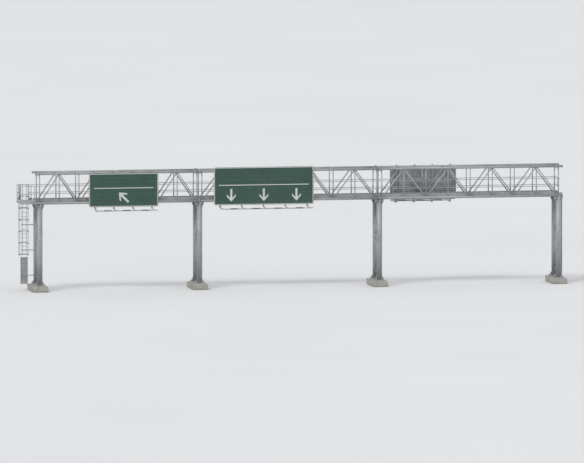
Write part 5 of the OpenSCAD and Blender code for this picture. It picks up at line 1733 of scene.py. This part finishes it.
        # lamp tray: rounded body, front edge a little higher so that the lens looks at the sign
        S = []
        for dx, sc in ((-0.260, 0.90), (-0.254, 1.0), (0.254, 1.0), (0.260, 0.90)):
            prof = [(ye - 0.210, z1 - 0.044), (ye - 0.206, z1 - 0.024), (ye - 0.190, z1 - 0.018), (ye - 0.016, z1 - 0.001), (ye - 0.003, z1 - 0.006), (ye, z1 - 0.016), (ye - 0.004, z1 - 0.038), (ye - 0.200, z1 - 0.050)]
            m0 = np.mean(prof, axis=0)
            S.append([(x + dx, sd * (m0[0] + (q[0] - m0[0]) * sc), m0[1] + (q[1] - m0[1]) * sc) for q in prof])
        lm.put(loft(S, smooth=False))
        # lens let into the tray
        th = math.atan2(0.017, 0.174)
        u = np.array([0, sd * math.cos(th), math.sin(th)])
        nn = np.array([0, -sd * math.sin(th), math.cos(th)])
        c0 = np.array([x, sd * (ye - 0.103), z1 - 0.0093])
        a_, c_ = rrect(0.488, 0.152, 0.014, 4), rrect(0.468, 0.132, 0.010, 4)
        lm.put(band(a_, c_, c0 - nn * 0.003, X, u, nn, 0.0046), 0)
        lm.put(plate(rrect(0.470, 0.134, 0.010, 4), c0 - nn * 0.002, X, u, nn, 0.0030, 0.0008), 1)
        for a in (-0.237, 0.237):
            for c in (-0.069, 0.069):
                lm.put(turned(c0 + X * a + u * c, nn, [(0.0, 0.0042), (0.0028, 0.0038), (0.0034, 0.002)], 8), 2)
        # gear box on the sign side of the rail, with its lid and screws
        ya, yb = ye - 0.207, ye - 0.150
        lm.put(cbox((x - 0.165, sd * ya, z1 - 0.092), (x + 0.165, sd * yb, z1 - 0.040), 0.004))
        lm.put(cbox((x - 0.170, sd * (ya - 0.003), z1 - 0.098), (x + 0.170, sd * (yb + 0.002), z1 - 0.089), 0.003))
        for a in (-0.155, 0.0, 0.155):
            for c in (ya + 0.010, yb - 0.010):
                lm.put(turned((x + a, sd * c, z1 - 0.0975), -Z, [(0.0, 0.0048), (0.0028, 0.0044), (0.0036, 0.0026)], 10), 2)
        # short cooling fins under the rest of the tray
        for j in range(41):
            xx = x - 0.246 + 0.492 * j / 40
            lm.put(cbox((xx - 0.0015, sd * (ye - 0.052), z1 - 0.066), (xx + 0.0015, sd * (ye - 0.012), z1 - 0.030), 0.0006))
            if abs(xx - x) > 0.180:
                lm.put(cbox((xx - 0.0015, sd * (ye - 0.196), z1 - 0.070), (xx + 0.0015, sd * (ye - 0.132), z1 - 0.044), 0.0006))
        lm.put(cbox((x - 0.252, sd * (ye - 0.130), z1 - 0.0345), (x + 0.252, sd * (ye - 0.050), z1 - 0.020), 0.001))
        # two clamps on the rail
        for e in (-0.17, 0.17):
            pts = [(x + e, sd * (ye - 0.054), z1 - 0.042), (x + e, sd * (ye - 0.054), z1 - 0.100), (x + e, sd * (ye - 0.126), z1 - 0.100), (x + e, sd * (ye - 0.126), z1 - 0.042)]
            P = rounded(pts, 0.008, 3)
            lm.put(strip(P, 0.030, 0.004, X), 2)
            lm.put(HEAD8, 2, place((x + e, sd * (ye - 0.090), z1 - 0.102), -Z))
            for c in (ye - 0.050, ye - 0.130):
                lm.put(cbox((x + e - 0.015, sd * c - 0.002, z1 - 0.046), (x + e + 0.015, sd * c + 0.002, z1 - 0.030), 0.0008), 2)
        # tail from the gear box into a small tee box on the conduit
        lm.put(turned((x + 0.164, sd * (ye - 0.178), z1 - 0.066), X, [(0, 0.0095), (0.006, 0.0095), (0.007, 0.0075), (0.018, 0.0070), (0.020, 0.0050)], 10), 3)
        lm.put(sweep(rounded([(x + 0.180, sd * (ye - 0.178), z1 - 0.066), (x + 0.262, sd * (ye - 0.178), z1 - 0.078), (x + 0.315, sd * (ye - 0.172), z1 - 0.092), (x + 0.315, sd * (ye - 0.145), z1 - 0.099)], 0.020, 4), 0.0042, 8), 3)
        lm.put(cbox((x + 0.292, sd * (ye - 0.138) - 0.0135, z1 - 0.1098), (x + 0.338, sd * (ye - 0.138) + 0.0135, z1 - 0.0885), 0.003), 3)
    # conduit from a box on the trunking, under the beam, down beside the first post and out along the arm
    zt, zu = Z_B + S_FLAT, Z_B - R_CH - 0.022
    lt.put(cbox((xc - 0.028, 0.5842, zt + 0.005), (xc + 0.028, 0.652, zt + 0.049), 0.004))
    lt.put(cbox((xc - 0.030, 0.5850, zt + 0.048), (xc + 0.030, 0.654, zt + 0.0525), 0.0015))
    for a in (-0.022, 0.022):
        for c in (0.593, 0.646):
            lt.put(turned((xc + a, c, zt + 0.0520), Z, [(0, 0.0036), (0.0016, 0.0032), (0.0022, 0.0015)], 8), 2)
    lt.put(turned((xc, 0.622, zt + 0.006), -Z, [(0, 0.0165), (0.008, 0.0165), (0.009, 0.0135), (0.024, 0.0130), (0.028, 0.0100)], 14), 3)
    run = rounded([(xc, 0.622, zt - 0.010), (xc, 0.622, zu), (xc, sd * (Y_POST - 0.022), zu), (xc, sd * (Y_POST - 0.022), Z_ARM - 0.060),
                   (xs_, sd * (Y_POST + 0.05), Z_ARM - 0.065), (xs_, sd * (ye - 0.245), Z_ARM - 0.065), (xs_, sd * (ye - 0.170), zq),
                   (xs_ + 0.040, sd * (ye - 0.138), zq), (xs_ + 0.15, sd * (ye - 0.138), zq)], 0.050, 6)
    lt.put(sweep(run, 0.0090, 12), 3)
    lt.put(cbox((xc - 0.030, sd * Y_C - 0.014, zu - 0.0118), (xc + 0.030, sd * Y_C + 0.014, zu - 0.0088), 0.001), 2)
    for e in (-1, 1):
        lt.put(cbox((xc + e * 0.016, sd * Y_C - 0.0136, zu - 0.0105), (xc + e * 0.0195, sd * Y_C + 0.0136, Z_B - R_CH + 0.006), 0.001), 2)
    for yy_ in (Y_POST + 0.30, Y_POST + 0.62, Y_POST + 0.94):
        lt.put(annulus((xs_, sd * yy_ - 0.008, Z_ARM - 0.065), Y, 0.0090, 0.0110, 0.016, 16), 2)
        lt.put(cbox((xp + m1 * 0.0246, sd * yy_ - 0.008, Z_ARM - 0.078), (xp + m1 * 0.0270, sd * yy_ + 0.008, Z_ARM - 0.043), 0.0008), 2)
        lt.put(bolt_head(0.004), 2, place((xp + m1 * 0.0270, sd * yy_, Z_ARM - 0.049), (m1, 0, 0)))
    lm.make(f"sign_{n + 1}_lighting", slot="lamp_housing")
    lt.make(slot="lamp_housing")

# =====================================================================
# Cable trunking and cabinet
# =====================================================================
RX, RY, RW = LEG[3] + 0.4, 0.545, 0.12
p = Piece("cable_trunking_runs", TRUNK, TRUNK_V, ZINC, BLACK)
zf = Z_B + S_FLAT
x0, x1 = CH_A[0] + 0.010, RX + RW
p.put(cbox((x0, RY - 0.038, zf), (x1 - 0.004, RY + 0.038, zf + 0.058), 0.001))
xs = list(np.arange(x0, RX - 0.3, 2.0)) + [RX - 0.02]
for i in range(len(xs) - 1):
    p.put(cbox((xs[i] + 0.001, RY - 0.040, zf + 0.046), (xs[i + 1] - 0.001, RY + 0.040, zf + 0.060), 0.0012))
    if i:
        p.put(cbox((xs[i] - 0.03, RY - 0.0415, zf + 0.002), (xs[i] + 0.03, RY + 0.0415, zf + 0.0615), 0.001))
    for x in (xs[i] + 0.25, xs[i + 1] - 0.25):
        for s in (-1, 1):
            # set over where the last sign's conduit box stands
            q = x + 0.08 if s > 0 and abs(x - xc) < 0.05 else x
            p.put(bolt_head(0.005), 2, place((q, RY + s * 0.040, zf + 0.053), (0, s, 0)))
# saddle straps at the floor struts
for b in range(3):
    for k in range(NP + 1):
        x = px(b, k)
        p.put(cbox((x - 0.0125, RY - 0.0422, zf - 0.001), (x + 0.0125, RY + 0.0422, zf + 0.0622), 0.001), 2)
        p.put(cbox((x - 0.0125, RY + 0.041, zf - 0.001), (x + 0.0125, RY + 0.064, zf + 0.003), 0.001), 2)
        p.put(HEAD8, 2, place((x, RY + 0.054, zf + 0.003), Z))
# riser, its lids and the elbow at its head
p.put(cbox((RX, RY - RW / 2, 0.412), (RX + RW - 0.0015, RY + RW / 2, zf + 0.060), 0.0015), 1)
zs = [0.46, 1.36, 2.30, 3.25, 4.20, 5.15, 6.10, zf + 0.055]
for i in range(len(zs) - 1):
    p.put(cbox((RX + RW - 0.012, RY - RW / 2 - 0.0015, zs[i] + 0.001), (RX + RW, RY + RW / 2 + 0.0015, zs[i + 1] - 0.001), 0.001), 1)
    if i:
        p.put(cbox((RX - 0.0018, RY - RW / 2 - 0.0018, zs[i] - 0.03), (RX + RW - 0.0002, RY + RW / 2 + 0.0018, zs[i] + 0.03), 0.001), 1)
    for z in (zs[i] + 0.12, zs[i + 1] - 0.12):
        for s in (-1, 1):
            p.put(bolt_head(0.005), 2, place((RX + RW - 0.006, RY + s * (RW / 2 + 0.0015), z), (0, s, 0)))
p.put(cbox((RX - 0.008, RY - RW / 2 - 0.022, 0.400), (RX + RW + 0.022 if RX + RW + 0.022 < 19.72 else 19.72, RY + RW / 2 + 0.022, 0.408), 0.0015), 1)
p.put(cbox((RX - 0.004, RY - RW / 2 - 0.004, 0.404), (RX + RW, RY + RW / 2 + 0.004, 0.430), 0.002), 3)
for a in (-1, 1):
    for x in (RX + 0.020, RX + 0.100):
        p.put(HEAD8, 2, place((x, RY + a * (RW / 2 + 0.0135), 0.408), Z))
# stand-off brackets and straps round the post; the lowest strap stops on either side of the diagonal
for z in (1.4, 2.9, 4.4, 5.7):
    C = [(-0.015, -0.020), (0.015, -0.020), (0.015, -0.015), (-0.010, -0.015), (-0.010, 0.015), (0.015, 0.015), (0.015, 0.020), (-0.015, 0.020)]
    p.put(extrude(C, (LEG[3] + 0.085, RY + 0.040, z), (RX + 0.002, RY + 0.040, z)), 2)
    if z < 2:
        c = np.array([LEG[3], Y_C, z])
        S = []
        for t in np.radians(np.linspace(-66, 246, 53)):
            e = np.array([math.cos(t), math.sin(t), 0.0])
            a, b = c + e * (R_POST + 0.0002), c + e * (R_POST + 0.0025)
            S.append([a - Z * 0.012, b - Z * 0.012, b + Z * 0.012, a + Z * 0.012])
        p.put(loft(S), 2)
        t = math.radians(240)
        e = np.array([math.cos(t), math.sin(t), 0.0])
        p.put(HEAD8, 2, place(c + e * (R_POST + 0.0025), e))
    else:
        p.put(annulus((LEG[3], Y_C, z - 0.012), Z, R_POST + 0.0002, R_POST + 0.0025, 0.024, 56), 2)
    p.put(cbox((RX - 0.004, RY - 0.055, z - 0.024), (RX + 0.001, RY + 0.058, z + 0.024), 0.001), 2)
    for dy in (-0.04, 0.04):
        p.put(HEAD8, 2, place((RX - 0.004, RY + dy, z), -X))
p.make("cable_trunking", slot="trunking")

p = Piece("isolator_cabinet_case", CAB, GALV_PLATE, ZINC, BLACK, CAB_PAINTED_SHADE)
cx0, cx1 = LEG[3] + 0.110, LEG[3] + 0.360
# body with a lip round the door opening
p.put(cbox((cx0, -0.300, 1.500), (cx1 - 0.020, 0.300, 2.300), 0.004))
a_, c_ = rrect(0.600, 0.800, 0.006, 3), rrect(0.572, 0.772, 0.004, 3)
p.put(band(a_, c_, (cx1 - 0.022, 0, 1.9), Y, Z, X, 0.010))
# dark sheet behind the door: painted shade in the gap round it
p.put(cbox((cx1 - 0.0215, -0.284, 1.516), (cx1 - 0.017, 0.284, 2.284), 0.001), 4)
door = rrect(0.590, 0.790, 0.008, 4)
p.put(plate(door, (cx1 - 0.0105, 0, 1.9), Y, Z, X, 0.0095, 0.003))
# rain hood, hinges, locks, louvres
p.put(plate([(cx0 - 0.012 - cx1, 0.0), (0.0, 0.0), (0.0, 0.004), (cx0 - 0.012 - cx1, 0.016)], (cx1, -0.315, 2.2985), X, Z, Y, 0.630, 0.0))
for z in (1.62, 1.90, 2.18):
    p.put(turned((cx1 - 0.004, 0.300, z - 0.030), Z, [(0, 0.0055), (0.002, 0.0070), (0.058, 0.0070), (0.060, 0.0055)], 12), 1)
    p.put(turned((cx1 - 0.004, 0.300, z - 0.036), Z, [(0, 0.0030), (0.072, 0.0030)], 8), 2)
for z in (1.70, 2.10):
    p.put(turned((cx1 - 0.0012, -0.262, z), X, [(0, 0.013), (0.0008, 0.0125)], 18), 2)
# swing handle in its dish
p.put(plate(rrect(0.036, 0.150, 0.016, 5), (cx1 - 0.0014, -0.240, 1.9), Y, Z, X, 0.0012, 0.0004), 3)
p.put(plate(rrect(0.020, 0.120, 0.009, 4), (cx1 - 0.0012, -0.240, 1.9), Y, Z, X, 0.0012, 0.0004), 2)
for zc in (2.195, 1.605):
    for j in range(6):
        z = zc - 0.045 + 0.018 * j
        hood = [(0.0, 0.0), (0.0046, -0.0006), (0.0054, 0.0004), (0.0034, 0.0072), (0.0, 0.0112)]
        S = []
        for dy, k in ((-0.105, 0.05), (-0.099, 0.8), (-0.093, 1.0), (0.093, 1.0), (0.099, 0.8), (0.105, 0.05)):
            S.append([(cx1 - 0.0014 + q[0] * k, 0.012 + dy, z + q[1] * (0.6 + 0.4 * k)) for q in hood])
        p.put(loft(S, smooth=False))
        # dark strip under each louvre hood: painted shade in the slot
        p.put(cbox((cx1 - 0.0020, 0.012 - 0.094, z - 0.0034), (cx1 - 0.0004, 0.012 + 0.094, z + 0.0006), 0.0003), 4)
# rails between the posts, and their bands
for z in (1.600, 2.160):
    C = [(0.0, 0.0), (0.033, 0.0), (0.033, 0.004), (0.004, 0.004), (0.004, 0.036), (0.033, 0.036), (0.033, 0.040), (0.0, 0.040)]
    P = [(-q[0], q[1]) for q in C]
    yy = Y_C - math.sqrt(R_POST ** 2 - 0.08 ** 2)
    p.put(extrude(P, (LEG[3] + 0.080, -yy - 0.01, z), (LEG[3] + 0.080, yy + 0.01, z)), 1)
    for s in (-1, 1):
        p.put(annulus((LEG[3], s * Y_C, z + 0.008), Z, R_POST + 0.0002, R_POST + 0.0028, 0.024, 56), 2)
        p.put(cbox((LEG[3] + 0.078, s * (yy - 0.012), z - 0.004), (LEG[3] + 0.116, s * (yy + 0.004), z + 0.044), 0.001), 1)
# glands below, and a conduit across to the riser
for y in (0.10, 0.18, 0.26):
    p.put(turned((cx0 + 0.12, y, 1.502), -Z, [(0, 0.020), (0.006, 0.020), (0.008, 0.017), (0.028, 0.017), (0.034, 0.012)], 14), 3)
run = rounded([(cx0 + 0.12, 0.26, 1.480), (cx0 + 0.12, 0.26, 1.300), (cx0 + 0.12, 0.42, 1.220), (RX + 0.05, 0.42, 1.220), (RX + 0.05, RY - RW / 2 + 0.01, 1.220)], 0.06, 6)
p.put(sweep(run, 0.0125, 14), 3)
p.put(turned((RX + 0.05, RY - RW / 2 - 0.002, 1.220), -Y, [(0, 0.021), (0.008, 0.021), (0.010, 0.0165), (0.026, 0.0165), (0.030, 0.013)], 14), 3)
run = rounded([(cx0 + 0.12, 0.18, 1.480), (cx0 + 0.12, 0.18, 1.250), (cx0 + 0.12, 0.40, 1.150), (RX + 0.03, 0.40, 1.150), (RX + 0.03, RY - RW / 2 + 0.01, 1.150)], 0.06, 6)
p.put(sweep(run, 0.0125, 14), 3)
p.put(turned((RX + 0.03, RY - RW / 2 - 0.002, 1.150), -Y, [(0, 0.021), (0.008, 0.021), (0.010, 0.0165), (0.026, 0.0165), (0.030, 0.013)], 14), 3)
p.put(turned((cx0 + 0.12, 0.10, 1.468), -Z, [(0, 0.010), (0.004, 0.009)], 12), 3)
p.make("isolator_cabinet", slot="cabinet_paint")

# =====================================================================
# Floor and light
# =====================================================================
BACK = (0.735, 0.750, 0.770)
g = Graph("studio_floor")
tone = g.span(g.noise(0.05, 4.0, 0.5), 0.35, 0.65)
speck = g.span(g.noise(1.7, 5.0, 0.6), 0.3, 0.7)
floor_col = g.mix(g.math("MULTIPLY", speck, 0.25), g.mix(tone, (0.675, 0.68, 0.687), (0.70, 0.703, 0.708)), (0.72, 0.722, 0.725))
g.done(floor_col, 0.92, 0.0, g.bump(g.noise(3.0, 3.0, 0.5), 0.02, 0.01))
# far from the object the floor goes over into the backdrop's own tone, like a studio cove
far = g.t.nodes.new("ShaderNodeVectorMath")
far.operation = "LENGTH"
g.put(far.inputs[0], g.pos)
fade = g.span(far.outputs["Value"], 90.0, 420.0)
glow = g.t.nodes.new("ShaderNodeEmission")
glow.inputs[0].default_value = (*BACK, 1.0)
glow.inputs[1].default_value = 1.0
both = g.t.nodes.new("ShaderNodeMixShader")
g.put(both.inputs[0], fade)
g.t.links.new(g.b.outputs[0], both.inputs[1])
g.t.links.new(glow.outputs[0], both.inputs[2])
g.t.links.new(both.outputs[0], g.out.inputs[0])
me = bpy.data.meshes.new("studio_floor")
R0 = 3000.0
me.from_pydata([(-R0, -R0, 0), (R0, -R0, 0), (R0, R0, 0), (-R0, R0, 0)], [], [(0, 1, 2, 3)])
me.materials.append(g.m)
floor = bpy.data.objects.new("studio_floor", me)
bpy.context.scene.collection.objects.link(floor)

world = bpy.data.worlds.new("studio")
bpy.context.scene.world = world
world.use_nodes = True
bg = world.node_tree.nodes["Background"]
bg.inputs[0].default_value = (*BACK, 1.0)
bg.inputs[1].default_value = 1.0


def sun(name, az, el, strength, angle, color=(1, 1, 1)):
    l = bpy.data.lights.new(name, "SUN")
    l.energy, l.angle, l.color = strength, math.radians(angle), color
    o = bpy.data.objects.new(name, l)
    bpy.context.scene.collection.objects.link(o)
    a, e = math.radians(az), math.radians(el)
    v = Vector((math.sin(a) * math.cos(e), -math.cos(a) * math.cos(e), math.sin(e)))
    o.rotation_mode = "QUATERNION"
    o.rotation_quaternion = (-v).to_track_quat("-Z", "Y")
    o.location = v * 60


sun("key", -48, 48, 1.35, 16, (1.0, 0.985, 0.96))
sun("fill", 60, 30, 0.25, 60, (0.95, 0.975, 1.0))
bpy.context.scene.view_settings.view_transform = "Standard"
bpy.context.scene.view_settings.look = "None"
